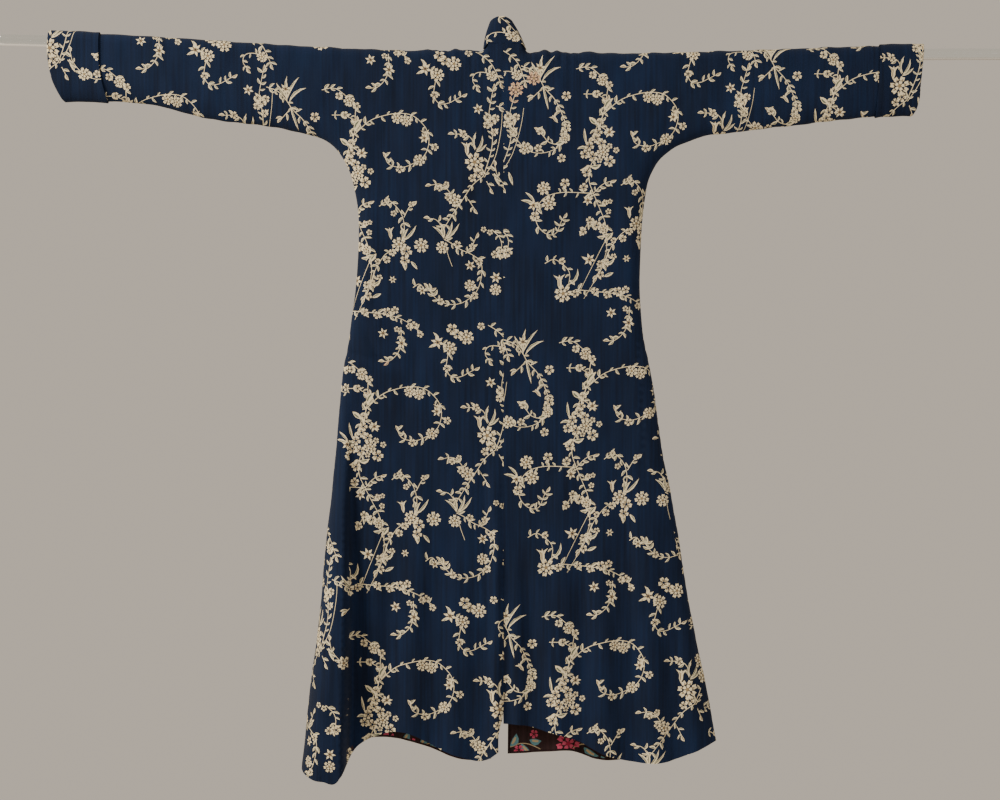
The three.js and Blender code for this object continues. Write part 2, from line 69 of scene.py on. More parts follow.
FRONT_NECK = {"inside": 12, "outside": 36, "fall": 45}
INWARD = {"left": 1, "right": -1}
OUTWARD_Y = {"back": -1, "front": 1}

# Lower edge of each sleeve and the side below it, from the cuff to past the hem: x, z
EDGE_TABLES = {
    "left": [
        (-830, -69), (-680, -69), (-604, -75), (-507, -99), (-406, -112), (-332, -127), (-298, -141),
        (-277, -163), (-262, -193), (-252, -232), (-248, -300), (-250, -370), (-262, -460), (-278, -563),
        (-287, -676), (-302, -815), (-315, -952), (-327, -1050), (-345, -1210), (-351, -1260),
    ],
    "right": [
        (800, -93), (650, -94), (599, -99), (513, -109), (394, -123), (334, -132), (298, -147),
        (271, -168), (253, -197), (243, -240), (237, -310), (234, -400), (241, -472), (257, -555),
        (271, -655), (296, -791), (321, -940), (339, -1030), (366, -1168), (378, -1230),
    ],
}
EDGE_STEPS = 170
UNDERARM_REACH = 32

# Open end of each sleeve and inner edge of its turned-back cuff, from the top down: z, x
CUFFS = {
    "left": {
        "end": [(60, -778), (0, -778), (-40, -769), (-80, -748)],
        "inner": [(60, -694), (-20, -691), (-80, -676)],
    },
    "right": {
        "end": [(30, 721), (-40, 714), (-80, 709), (-100, 700)],
        "inner": [(30, 648), (-60, 642), (-100, 639)],
    },
}

# Height of each layer's hem across the robe: x, z
HEM_TABLES = {
    "back": {
        "left": [
            (-352, -1206), (-339, -1219), (-306, -1230), (-279, -1228), (-267, -1204), (-255, -1183),
            (-236, -1167), (-216, -1158), (-167, -1153), (-130, -1170), (-103, -1184), (-74, -1195),
            (-26, -1199), (-8, -1186),
        ],
        "right": [
            (0, -1138), (38, -1141), (73, -1151), (127, -1167), (172, -1190), (207, -1200),
            (246, -1205), (272, -1204), (325, -1187), (368, -1168),
        ],
    },
    "front": {
        "left": [
            (-352, -1206), (-290, -1186), (-232, -1167), (-184, -1169), (-130, -1182), (-89, -1200),
            (-59, -1205), (-21, -1203),
        ],
        "right": [
            (8, -1194), (69, -1192), (115, -1190), (160, -1204), (250, -1199), (325, -1184), (368, -1168),
        ],
    },
}
FRONT_EDGE = {"left": {"neck": -14, "hem": -21}, "right": {"neck": 20, "hem": 8}}

# Side gores: height of the tip, and how far each seam lies in from the side at the hem
GORES = {
    "left": {"tip": -466, "back": 77, "front": 66, "power": 0.95},
    "right": {"tip": -450, "back": 12, "front": 125, "power": 0.9},
}
GORE_PAST_HEM = 1.1
FLUTES = {
    "back": {"side": "left", "start": -440, "full": -1260, "height": 52, "slope": 18},
    "front": {"side": "right", "start": -440, "full": -1260, "height": 34, "slope": 30},
}

# Soft vertical folds: start, middle there, middle at the hem, half-width, height
FOLDS_FULL = -1140
FOLDS = {
    "back": [
        (-480, -232, -214, 16, 5), (-560, -128, -166, 26, 11), (-640, -70, -86, 20, 8),
        (-600, -10, -14, 12, 11), (-760, 22, 26, 13, 9), (-700, 92, 98, 24, 10),
        (-640, 160, 176, 28, 13), (-560, 222, 262, 28, 14), (-800, 300, 330, 22, 10),
    ],
    "front": [
        (-560, -212, -292, 26, 12), (-620, -150, -196, 28, 13), (-700, -88, -102, 22, 9),
        (-820, -30, -36, 14, 7), (-700, 52, 62, 22, 9), (-600, 112, 140, 28, 13),
        (-680, 184, 210, 24, 9),
    ],
}

# Small puffs of the shoulder line beside the neck: x, half-width, height
PUFFS = [(-131, 12, 3), (-80, 12, 4.5), (-56, 8, 3.5), (69, 9, 4), (94, 10, 4), (148, 16, 3)]

COLLAR = {
    "backGap": -1.0, "frontGap": 1.0, "baseHalf": 36, "topMiddle": -3, "topHalf": 18, "topDepth": 12.5,
    "top": 75, "shoulderFall": 7, "frontFall": 34, "bulge": 2, "cloth": 2.4, "frontOffset": 17,
}

# Creases placed as the back shows them, and shared by the hidden front: from x, z to x, z,
# half-width, and height (troughs are negative)
CREASES = [
    (-276, -500, -176, -524, 7, -2.2), (-270, -512, -186, -540, 9, 1.6), (-238, -462, -200, -536, 8, -1.8),
    (-244, -380, -206, -470, 10, 1.2), (-150, -470, -178, -700, 12, -1.4), (-118, -620, -132, -1100, 13, -2),
    (-22, -610, 2, -1130, 9, 1.6), (-34, -640, -20, -1130, 6, -1.8), (34, -850, 62, -1110, 12, -3.4),
    (56, -840, 90, -1120, 10, 1.8), (98, -640, 104, -1100, 14, 1.6), (134, -720, 142, -1120, 9, -2.2),
    (167, -600, 172, -1080, 16, 1.5), (206, -640, 228, -1140, 9, -2.4), (253, -760, 268, -1150, 12, 1.7),
    (232, -455, 244, -728, 3, -1.3), (-60, -120, -90, -420, 26, 1.0), (70, -110, 60, -460, 30, 1.1),
    (150, -60, 190, -380, 26, -0.9), (-190, -50, -214, -300, 24, -0.9), (206, -150, 226, -330, 12, 1.1),
    (-236, -176, -226, -330, 10, 1.1), (6, -250, 20, -560, 20, 0.8), (-20, -180, -30, -520, 22, -0.8),
    (-252, -150, -330, -30, 9, -1.0), (-300, -130, -470, -34, 10, 0.9), (-400, -100, -560, -40, 9, -0.8),
    (-520, -84, -640, -24, 8, 0.8), (250, -160, 322, -52, 9, -1.0), (300, -136, 452, -56, 10, 0.9),
    (390, -112, 520, -62, 9, -0.8), (480, -100, 610, -60, 8, 0.7), (330, -128, 400, -96, 6, 0.9),
    (-330, -122, -420, -92, 6, 0.9), (110, -880, 124, -1150, 7, 1.2), (-196, -880, -206, -1140, 8, -1.6),
    (-62, -900, -60, -1170, 7, 1.4), (290, -900, 316, -1160, 8, -1.8),
]

# Ripples: length across, length along, phase
RIPPLE_LENGTHS = [(61, 173, 0.4), (37, 118, 0.9), (96, 240, 2.1)]
RIPPLE = 0.45
RIPPLE_BEND = 0.8
CREASE_ENDS = {"past": 0.12, "fade": 0.3}
SHOULDER_PUCKER = {
    "length": 17, "height": 0.9, "reach": 60, "half": 165, "fade": 0.5, "sway": 1.1, "swayLength": 19,
}
HEM_PUCKER = {"length": 23, "height": 0.5, "reach": 26}
SEAM_GROOVE = {"half": 2.2, "depth": 0.9, "below": 10, "above": 30}
NEAR_ROD = 40
ROD_MARGIN = 0.9

MM = 0.001
MESH_STEP = 7
OUTLINE_STEP = 2
LINE_POINTS = 80
ARC_STEPS = 16
SETTLE_ROUNDS = 6  # times that the place where two lines cross is worked out anew
BAND_POINTS = 400  # points in one band of a test of what lies inside an outline
CUT_CLOSENESS = 1e-3  # points closer than this are one in a net
SHARED_GAP = 0.4  # points closer than this are one in an outline
SLIVER = 1e-5  # triangles smaller than this are dropped
ON_EDGE = 0.5  # this near to an edge line, inwards is the line's own normal
NORMAL_STEP = 0.4  # step along the flat cloth that gives a normal
SLOPE_STEP = 0.5  # step across the view that gives a slope
TINY = 1e-9  # keeps a division from one by nothing


def ease(start, end, value):
    """Rises from 0 to 1 between start and end, as 3t squared less 2t cubed."""
    t = np.clip((value - start) / (end - start), 0, 1)
    return t * t * (3 - 2 * t)


def mix(start, end, share):
    return start + (end - start) * share


def through(places, values):
    """A smooth curve through table rows: cubic pieces whose slope at a row is its neighbours' slopes,
    weighted by distance. Level beyond both ends."""
    order = np.argsort(places)
    at, value = np.asarray(places, float)[order], np.asarray(values, float)[order]
    gaps = np.diff(at)
    steps = np.diff(value) / gaps
    slope = np.empty(len(at))
    slope[0], slope[-1] = steps[0], steps[-1]
    slope[1:-1] = (steps[:-1] * gaps[1:] + steps[1:] * gaps[:-1]) / (gaps[:-1] + gaps[1:])

    def read(place):
        p = np.clip(place, at[0], at[-1])
        i = np.clip(np.searchsorted(at, p, side="right") - 1, 0, len(at) - 2)
        h = gaps[i]
        t = (p - at[i]) / h
        rest = 1 - t
        return (
            value[i] * (1 + 2 * t) * rest * rest + value[i + 1] * t * t * (3 - 2 * t)
            + h * slope[i] * t * rest * rest - h * slope[i + 1] * t * t * rest
        )

    return read


def lengths_along(line):
    """Length of a line from its start to each of its points."""
    return np.concatenate([[0], np.cumsum(np.hypot(*np.diff(line, axis=0).T))])


def edge_line(table):
    """Points along an edge table at even steps, and its place by height (side) and by x (sleeve)."""
    rows = np.array(table, float)
    along = lengths_along(rows)
    s = np.linspace(0, along[-1], EDGE_STEPS + 1)
    points = np.stack([through(along, rows[:, 0])(s), through(along, rows[:, 1])(s)], axis=1)
    side = points[points[:, 1] < UNDERARM + UNDERARM_REACH]
    sleeve = points[points[:, 1] > UNDERARM - UNDERARM_REACH]
    return {
        "points": points,
        "x_at": through(side[:, 1], side[:, 0]),
        "z_at": through(sleeve[:, 0], sleeve[:, 1]),
    }


def curves(tables):
    """A smooth curve for each named table of rows."""
    return {name: through(*zip(*rows)) for name, rows in tables.items()}


EDGES = {side: edge_line(table) for side, table in EDGE_TABLES.items()}
HEMS = {layer: curves(tables) for layer, tables in HEM_TABLES.items()}
CUFF_LINES = {side: curves(tables) for side, tables in CUFFS.items()}


def inside_edges(x, z):
    """Distance inside the nearer edge line (negative outside), and the direction that leads inwards."""
    best = np.full(x.shape, np.inf)
    signed = np.zeros(x.shape)
    direction = np.zeros(x.shape + (2,))
    for side, inward in INWARD.items():
        start, end = EDGES[side]["points"][:-1], EDGES[side]["points"][1:]
        run = end - start
        length = (run ** 2).sum(1)
        off_x = x[:, None] - start[:, 0]
        off_z = z[:, None] - start[:, 1]
        t = np.clip((off_x * run[:, 0] + off_z * run[:, 1]) / length, 0, 1)
        away = (off_x - t * run[:, 0]) ** 2 + (off_z - t * run[:, 1]) ** 2
        i = away.argmin(axis=1)
        rows = np.arange(len(x))
        near, share, step = np.sqrt(away[rows, i]), t[rows, i], run[i]
        normal = np.stack([-step[:, 1], step[:, 0]], axis=1) * inward
        normal /= np.linalg.norm(normal, axis=1, keepdims=True)
        to_point = np.stack([x, z], axis=1) - start[i] - share[:, None] * step
        sign = np.where((to_point * normal).sum(1) < 0, -1.0, 1.0)
        straight_in = to_point / np.maximum(near, TINY)[:, None] * sign[:, None]
        aim = np.where((near < ON_EDGE)[:, None], normal, straight_in)
        closer = near < best
        best = np.where(closer, near, best)
        signed = np.where(closer, near * sign, signed)
        direction = np.where(closer[:, None], aim, direction)
    return signed, direction


def rod_height(x):
    return ROD_TILT * x + ROD_BOW * ease(ROD_FLAT_HALF, ROD_BOW_END, np.abs(x))


def top_line(x):
    """Height of the cloth's ridge over the rod: the rod, the layer's depth and the small puffs."""
    puffs = sum(height * np.exp(-(((x - middle) / half) ** 2)) for middle, half, height in PUFFS)
    return rod_height(x) + LAYER_DEPTH + puffs


def neck_share(x):
    return 1 - ease(NECK["inside"], NECK["outside"], np.abs(x - NECK["middle"]))


def upper_edge(layer, x):
    rise = NECK["rise"] * neck_share(x)
    if layer == "back":
        return top_line(x) + rise
    low = 1 - ease(FRONT_NECK["inside"], FRONT_NECK["outside"], np.abs(x - NECK["middle"]))
    return top_line(x) + rise - FRONT_NECK["fall"] * low


def gore_inset(side, layer, z):
    gore = GORES[side]
    share = np.clip((gore["tip"] - z) / (gore["tip"] - HEM), 0, GORE_PAST_HEM)
    return gore[layer] * share ** gore["power"]


def layer_depth(layer, x, z):
    """Distance of a layer from the middle plane: the rod's, plus each fold and the deep pipe fold."""
    depth = np.full(x.shape, float(LAYER_DEPTH))
    for start, at_start, at_hem, half, height in FOLDS[layer]:
        middle = mix(at_start, at_hem, (start - z) / (start - HEM))
        depth += height * ease(start, FOLDS_FULL, z) * np.exp(-(((x - middle) / half) ** 2))
    flute = FLUTES[layer]
    inward = INWARD[flute["side"]]
    seam = EDGES[flute["side"]]["x_at"](z) + inward * gore_inset(flute["side"], layer, z)
    across = ease(flute["slope"] / 2, -flute["slope"] / 2, (x - seam) * inward)
    return depth + flute["height"] * ease(flute["start"], flute["full"], z) * across


def turn_radius(z):
    above = mix(SLEEVE_TURN, WAIST_TURN, ease(UNDERARM, WAIST, z))
    return mix(above, HEM_TURN, ease(SKIRT, HEM, z))


ARC_ANGLES = np.linspace(0, math.pi / 2, ARC_STEPS + 1)


def arc_lengths(radius, depth):
    """Length along a quarter ellipse from the cloth's edge, at each of ARC_ANGLES."""
    speed = np.hypot(radius[:, None] * np.sin(ARC_ANGLES), depth[:, None] * np.cos(ARC_ANGLES))
    steps = (speed[:, 1:] + speed[:, :-1]) / 2 * np.diff(ARC_ANGLES)
    return np.concatenate([np.zeros((len(radius), 1)), np.cumsum(steps, axis=1)], axis=1)


def read_rows(xs, ys, at):
    """Reads each row of ys at a place of the same row of rising xs, by straight lines."""
    i = np.clip((xs < at[:, None]).sum(axis=1) - 1, 0, xs.shape[1] - 2)
    rows = np.arange(len(at))
    x0, x1 = xs[rows, i], xs[rows, i + 1]
    y0, y1 = ys[rows, i], ys[rows, i + 1]
    return mix(y0, y1, np.clip((at - x0) / np.maximum(x1 - x0, TINY), 0, 1))


def roll_in(flat, radius, depth):
    """Distance in from the edge in the view, for a distance in the flat cloth, whose edge lies further out
    by what the turned quarter ellipse takes up."""
    arcs = arc_lengths(radius, depth)
    angles = np.broadcast_to(ARC_ANGLES, arcs.shape)
    s = np.maximum(flat + arcs[:, -1] - radius, 0)
    angle = read_rows(arcs, angles, s)
    return np.where(s < arcs[:, -1], radius * (1 - np.cos(angle)), flat)


def lay_out(inside, radius, depth):
    """The reverse of roll_in."""
    arcs = arc_lengths(radius, depth)
    angles = np.broadcast_to(ARC_ANGLES, arcs.shape)
    angle = np.arccos(np.clip(1 - inside / radius, 0, 1))
    s = read_rows(angles, arcs, angle)
    return np.where(inside < radius, s - arcs[:, -1] + radius, inside)


TOP_SLACK = (math.pi / 2 - 1) * LAYER_DEPTH


def flatten(layer, x, z):
    """Flat place of a point of the view: out past the side by the turned edge, and up past the ridge."""
    inside, aim = inside_edges(x, z)
    radius, depth = turn_radius(z), layer_depth(layer, x, z)
    inside = np.maximum(inside, 0)
    out = inside - lay_out(inside, radius, depth)
    u, v = x - aim[:, 0] * out, z - aim[:, 1] * out
    below = np.clip(top_line(x) - z, 0, None)
    s = np.where(below < LAYER_DEPTH, LAYER_DEPTH * np.arccos(np.clip(1 - below / LAYER_DEPTH, 0, 1)), 0)
    rise = np.where(below < LAYER_DEPTH, TOP_SLACK + below - s, 0) * (1 - neck_share(x))
    return u, v + rise


def cloth_detail(layer, x, z):
    """Fine height of the cloth: straight soft creases, ripples, puckers by the neck and at the hem, and
    the groove of the centre back seam."""
    height = np.zeros(x.shape)
    for x0, z0, x1, z1, half, rise in CREASES:
        run = np.array([x1 - x0, z1 - z0], float)
        length = np.hypot(*run)
        along = ((x - x0) * run[0] + (z - z0) * run[1]) / length
        across = ((x - x0) * run[1] - (z - z0) * run[0]) / length
        start = ease(-CREASE_ENDS["past"] * length, CREASE_ENDS["fade"] * length, along)
        ends = start * ease((1 + CREASE_ENDS["past"]) * length, (1 - CREASE_ENDS["fade"]) * length, along)
        height += rise * ends * np.exp(-((across / half) ** 2))
    for across, along, phase in RIPPLE_LENGTHS:
        bend = RIPPLE_BEND * np.sin(z / along + phase)
        across_wave = np.sin(2 * math.pi * x / across + bend + phase)
        height += RIPPLE * across_wave * np.sin(2 * math.pi * z / along + phase)
    below = top_line(x) - z
    pucker = SHOULDER_PUCKER
    beside_neck = ease(pucker["half"], pucker["fade"] * pucker["half"], np.abs(x - NECK["middle"]))
    gather = beside_neck * (1 - neck_share(x))
    sway = pucker["sway"] * np.sin(x / pucker["swayLength"])
    wave = np.sin(2 * math.pi * x / pucker["length"] + sway)
    height += pucker["height"] * gather * wave * ease(pucker["reach"], 0, below)
    hem = np.where(x < CENTRE_SEAM, HEMS[layer]["left"](x), HEMS[layer]["right"](x))
    pucker = HEM_PUCKER
    wave = np.sin(2 * math.pi * x / pucker["length"])
    height += pucker["height"] * wave * ease(pucker["reach"], 0, z - hem)
    if layer == "back":
        dip = np.exp(-(((x - CENTRE_SEAM) / SEAM_GROOVE["half"]) ** 2))
        sewn = ease(SEAM_END - SEAM_GROOVE["below"], SEAM_END + SEAM_GROOVE["above"], z)
        height -= SEAM_GROOVE["depth"] * dip * sewn
    return np.maximum(height, np.where(below < NEAR_ROD, -ROD_MARGIN, -np.inf))


def hang(layer, u, v, lift):
    """Place of flat cloth on the robe. Points near a side or the ridge roll round it, and the depth is the
    layer's depth times the root of how open the cloth is there. Lift moves a point along the normal."""
    below = top_line(u) - v
    s = below + TOP_SLACK
    rolled = LAYER_DEPTH * (1 - np.cos(np.clip(s / LAYER_DEPTH, 0, math.pi / 2)))
    share = neck_share(u)
    curled = mix(np.where(s < LAYER_DEPTH * math.pi / 2, rolled, below), below, share)
    z = top_line(u) - curled
    inside, aim = inside_edges(u, z)
    radius, depth = turn_radius(z), layer_depth(layer, u, z)
    edge_in = np.maximum(roll_in(inside, radius, depth), 0)
    x = u + aim[:, 0] * (edge_in - inside)
    z = z + aim[:, 1] * (edge_in - inside)
    depth = layer_depth(layer, x, z)
    side = np.minimum(edge_in / radius, 1)
    wrap_in = np.minimum((top_line(x) - z) / LAYER_DEPTH, 1)
    turn = 1 - (1 - side) ** 2
    wrap = mix(1 - (1 - wrap_in) ** 2, 1, share)
    openness = np.maximum(turn * wrap, 0)
    y = np.maximum(depth * np.sqrt(openness), SEAM_GAP / 2)
    step = SLOPE_STEP
    slope_x = (layer_depth(layer, x + step, z) - layer_depth(layer, x - step, z)) / (2 * step)
    slope_z = (layer_depth(layer, x, z + step) - layer_depth(layer, x, z - step)) / (2 * step)
    ridge_slope = (top_line(x + step) - top_line(x - step)) / (2 * step)
    d_wrap = 2 * (1 - wrap_in) / LAYER_DEPTH * (1 - share)
    d_turn = 2 * (1 - side) / radius
    ratio = y / depth
    normal = np.stack([
        -2 * ratio ** 2 / depth * slope_x - turn * d_wrap * ridge_slope - wrap * d_turn * aim[:, 0],
        2 * ratio / depth,
        -2 * ratio ** 2 / depth * slope_z + turn * d_wrap - wrap * d_turn * aim[:, 1],
    ], axis=1)
    normal /= np.linalg.norm(normal, axis=1, keepdims=True)
    total = lift + cloth_detail(layer, x, z)
    place = np.stack([x, y, z], axis=1) + normal * total[:, None]
    place[:, 1] = np.maximum(place[:, 1], SEAM_GAP / 2) * OUTWARD_Y[layer]
    return place


# The print. One repeat, charted: the bends of the vines, the ends of single leaves, and the middles
# and sizes of the flowers were read off enlarged crops of the photo, in squares of CHART_STEP, which is one
# of its pixels. The shapes of leaves and petals are plain ones, worked out below. X runs along the cloth and
# y down it. The cloth is laid a little off its grain, differently on its two halves.
CHART_STEP = 1.72

# The chart's corner on the flat cloth as x, z, and the two steps of its repeat in squares as x, y
CHARTS = {
    "left": {"origin": (-271.8, 35.7), "across": (229, 19), "down": (12.5, 272.5)},
    "right": {"origin": (173.7, 71.8), "across": (230, -20), "down": (-17, 273)},
}

# Vines with leaves, and bare ones, by their bends: x, y
STEMS = [
    [(6, 95), (21, 81), (37, 76), (49, 74), (63, 75), (73, 83), (79, 92), (80, 104), (75, 117), (64, 124),
     (52, 129), (38, 126), (35, 118)],
    [(82, 31), (91, 35), (88, 45), (86, 56), (90, 65), (100, 65), (109, 60), (115, 57)],
    [(43, 15), (43, 30), (40, 40), (31, 49), (24, 49)],
    [(8, 68), (7, 80), (6, 95), (0, 107), (-5, 120)],
    [(1, 107), (12, 114)],
    [(130, 13), (137, 17), (145, 24), (150, 34), (154, 45)],
    [(148, 37), (138, 33), (128, 34), (125, 42), (130, 49)],
    [(132, 137), (121, 145), (113, 157), (102, 172), (91, 188)],
    [(126, 110), (122, 98), (114, 95), (104, 95)],
    [(100, 157), (96, 150), (89, 144), (79, 146)],
    [(135, 142), (139, 150)],
    [(116, 160), (122, 170)],
    [(90, 190), (84, 180), (76, 179)],
    [(90, 200), (98, 204), (105, 210), (116, 214), (127, 222), (126, 238), (120, 254),
     (102, 266), (82, 263), (71, 248)],
    [(-12, -2), (10, 0), (30, 2), (48, 8), (60, 18)],
    [(111, 214), (118, 206), (122, 198)],
    [(27, 167), (36, 160), (42, 165), (48, 172), (51, 182), (51, 195)],
    [(51, 178), (57, 167), (60, 165)],
    [(43, 210), (32, 213), (25, 222), (19, 232), (16, 245)],
    [(19, 232), (13, 250), (8, 260)],
    [(138, 190), (148, 200), (146, 215)],
    [(57, 248), (64, 243), (69, 252), (75, 250)],
    [(-80, 48), (-68, 52), (-60, 62), (-55, 71), (-44, 81), (-37, 94), (-31, 108), (-35, 127), (-48, 135),
     (-66, 135), (-82, 120), (-84, 107)],
    [(-59, 72), (-67, 80)],
    [(-35, 127), (-48, 125), (-54, 117), (-59, 113)],
    [(-25, 51), (-12, 48), (-1, 57), (6, 64)],
    [(-16, 76), (-8, 76), (-3, 76), (4, 80)],
    [(1, 112), (3, 104), (5, 96), (8, 82)],
    [(0, 140), (-5, 147), (-6, 162), (0, 175), (7, 190), (14, 204), (16, 220)],
    [(0, 175), (9, 165), (17, 163)],
    [(0, 175), (-20, 174), (-35, 174), (-50, 179), (-57, 193), (-55, 207), (-44, 217), (-34, 216),
     (-31, 204), (-28, 199)],
    [(16, 220), (5, 207), (-2, 202), (-8, 213)],
    [(-44, 245), (-36, 240), (-28, 244), (-18, 253), (-19, 266)],
    [(132, 137), (138, 122), (143, 105), (143, 90), (140, 76), (143, 62), (146, 50)],
]
BARE_STEMS = [
    [(133, 138), (144, 121), (149, 105), (153, 85), (154, 70)],
    [(16, 220), (12, 228), (1, 253), (-9, 276)],
    [(16, 222), (17, 235), (8, 260), (-3, 280)],
    [(91, 203), (93, 215), (97, 227)],
]

# Flowers: x, y, radius
ROSES = [
    (49, 79, 6), (58, 82, 5.5), (69, 121, 6), (108, 25, 7.5), (91, 36, 7), (2, 62, 6), (145, 37, 5.5),
    (124, 123, 10), (103, 161, 7), (88, 208, 6.5), (114, 246, 6), (45, 205, 7.5), (67, 206, 7.5),
    (12, 210, 5.5), (139, 250, 6), (-32, 120, 5.5), (-71, 130, 6.5), (-50, 170, 7), (-44, 185, 7.5),
    (-24, 275, 9), (7, 134, 6.5),
]
ROUNDS = [
    (85, 108, 4), (49, 130, 4), (94, 17, 6), (99, 22, 5), (87, 56, 4), (39, 17, 3), (51, 14, 3), (9, 67, 4),
    (13, 128, 3.2), (20, 132, 3.2), (14, 143, 6), (4, 142, 3), (123, 14, 4), (114, 95, 4), (127, 134, 5),
    (121, 139, 4), (143, 82, 5), (138, 86, 4), (147, 79, 4), (145, 93, 4), (139, 78, 4), (88, 149, 3.2),
    (95, 145, 3), (96, 158, 3.4), (103, 205, 4), (118, 207, 3.6), (35, 161, 3), (41, 174, 3.2), (59, 165, 3),
    (52, 212, 6), (38, 213, 4), (50, 221, 5), (12, 185, 3), (17, 183, 2.6), (16, 193, 3), (23, 222, 3),
    (32, 220, 4), (11, 245, 3.6), (17, 243, 3), (12, 256, 4), (130, 190, 3), (136, 193, 3), (140, 215, 4),
    (147, 214, 5), (-33, 78, 5), (-31, 110, 5), (-57, 113, 4), (-58, 130, 4), (-34, 140, 4.5), (-8, 57, 4),
    (-3, 76, 4), (-1, 120, 5), (-7, 128, 5), (5, 125, 5), (-11, 136, 5), (-3, 138, 5.5), (1, 114, 4.5),
    (2, 104, 4), (-8, 154, 5), (-10, 169, 4.5), (12, 184, 3), (-29, 165, 5), (-57, 198, 5), (5, 207, 5),
    (-2, 202, 4), (-8, 213, 4), (24, 238, 3.2), (-27, 243, 3.4),
    (30, 0, 5), (38, -2, 4), (20, 3, 4), (56, 13, 4), (62, 22, 3.5), (8, 0, 4), (124, 222, 4), (118, 256, 4),
    (84, 262, 3.6), (-12, 2, 4),
]
STARS = [
    (43, 31, 6), (25, 21, 5.5), (79, 30, 7), (12, 114, 6), (130, 70, 5.5), (115, 226, 5.5), (37, 240, 4),
    (140, 238, 6), (66, 251, 4.5), (-61, 50, 6), (-5, 182, 5.5), (-59, 187, 6), (0, 241, 6.5), (75, 99, 5.5),
]

# Cup flowers and single leaves: x and y of the base, x and y of the tip, width
TULIPS = [(77, 98, 76, 91, 6), (117, 112, 117, 103, 8), (37, 196, 36, 188, 6.5), (-42, 102, -46, 97, 6),
          (-28, 266, -29, 256, 8)]
BLADES = [
    (126, 112, 133, 96, 2.6), (126, 113, 137, 105, 2.6), (125, 111, 127, 93, 2.4), (90, 199, 79, 187, 2.8),
    (90, 199, 87, 183, 2.6), (91, 199, 99, 182, 2.8), (91, 200, 106, 184, 2.6), (48, 201, 47, 186, 2.6),
    (49, 200, 55, 189, 2.6), (50, 201, 63, 186, 3), (143, 134, 148, 147, 3.2), (-60, 62, -59, 37, 3),
    (-60, 60, -47, 38, 2.6), (-58, 63, -40, 49, 3), (-57, 68, -50, 92, 2.4), (-60, 58, -70, 44, 2.6),
    (-10, 126, -13, 110, 2.6), (-9, 130, -19, 131, 3), (-58, 186, -72, 182, 3), (-58, 184, -68, 174, 2.6),
    (-19, 266, -11, 250, 3), (6, 92, 14, 80, 5), (-1, 106, -9, 99, 5), (47, 222, 50, 231, 4.4),
    (56, 222, 62, 230, 3.2), (-5, 148, 6, 146, 4.4), (-6, 147, -15, 152, 4), (-41, 126, -31, 122, 4.4),
    (16, 246, 25, 240, 3.4), (80, 31, 70, 35, 3), (80, 30, 75, 20, 3), (16, 222, 22, 214, 4),
    (3, 242, -8, 238, 3), (16, 258, 25, 254, 3.4),
]

# A cup flower's three petals: how they lean, and shares of the flower's length and width
TULIP_SHAPE = {"leans": (-0.6, 0.6, 0), "foot": 0.5, "width": 0.42, "bend": -0.35}
STEM_WIDTH = 0.72
BARE_STEM_WIDTH = 0.8 * STEM_WIDTH
STEM_TAPER = 0.7

# Leaves along a stem: length, spacing, the look ahead and the bud in squares, leans in radians, and the
# rest as shares. A pair of numbers is a range from which a seeded draw picks.
LEAVES = {
    "length": 6.8, "spacing": 6.0, "first": 0.5, "ahead": 2, "pairs": 0.35, "lean": (0.45, 1.25),
    "size": (0.7, 1.15), "width": (0.3, 0.43), "bend": 0.1, "budLength": 5.5, "budWidth": 3,
}

# A leaf's bend, places along its midrib, half-widths there, and how much of one half is shaded
LEAF_BEND = 0.12
LEAF_SHARES = np.array([0.0, 0.2, 0.45, 0.74, 1.0])
LEAF_WIDTHS = np.array([0.12, 0.72, 1.0, 0.7, 0.0])
LEAF_SHADE = 0.7
BLADE_BEND = (-0.2, 0.2)

# A petal's corners from its heart: shares of the flower's radius, and of half the petal's turn
PETALS = {
    "pointed": {"radii": (0.52, 1.0, 0.52), "turns": (-0.78, 0, 0.78)},
    "round": {"radii": (0.66, 0.98, 0.9, 0.98, 0.66), "turns": (-0.8, -0.46, 0, 0.46, 0.8)},
}

# A flower's layers, the lowest first: form, radius, petals or corners, turn, where petals start, and dye
FLOWERS = {
    "rose": [
        ("round", 1, 7, 0, 0.3, "petal"), ("pointed", 0.8, 7, 0.1, 0.62, "shade"),
        ("disc", 0.56, 8, 0, 0, "ground"), ("round", 0.52, 5, 0.6, 0.18, "petal"),
        ("disc", 0.2, 6, 0, 0, "heart"),
    ],
    "round": [
        ("round", 1, 5, 0, 0.16, "petal"), ("pointed", 0.72, 5, 0.16, 0.5, "shade"),
        ("disc", 0.24, 6, 0, 0, "ground"),
    ],
    "star": [
        ("pointed", 1, 6, 0, 0.2, "petal"), ("disc", 0.3, 7, 0, 0, "heart"),
        ("disc", 0.14, 6, 0, 0, "ground"),
    ],
}

# Where flowers are rosy, and two roses below the neck, on the flat cloth: x, z, reach or radius
ROSY_PLACES = [(-203, -540, 22), (10, -70, 14)]
NECK_ROSES = [(22, -51, 13.5), (53, -32, 12.5)]
NECK_ROSE_TURN = 0.3

# Which of ROBE_DYES each part of a motif takes
ROSY = 4
DYES = {"ground": 0, "petal": 1, "shade": 2, "leaf": 1, "leaf_shade": 3, "stem": 1, "heart": 2}
PRINT_SEED = 7
LEAN_REACH = 20  # the cloth's lean moves no motif further sideways than this, in squares

# How far the print is moved on pieces cut from another part of the cloth: x, z
PRINT_SHIFTS = {
    "back": (0, 0), "front": (90, -140), "cuff_left": (60, 130), "cuff_right": (-90, 60),
    "gore_left": (70, 95), "gore_right": (-70, 95), "collar": (30, 40),
}


def polar(at, radii, angles):
    return np.stack([at[0] + radii * np.cos(angles), at[1] + radii * np.sin(angles)], axis=1)


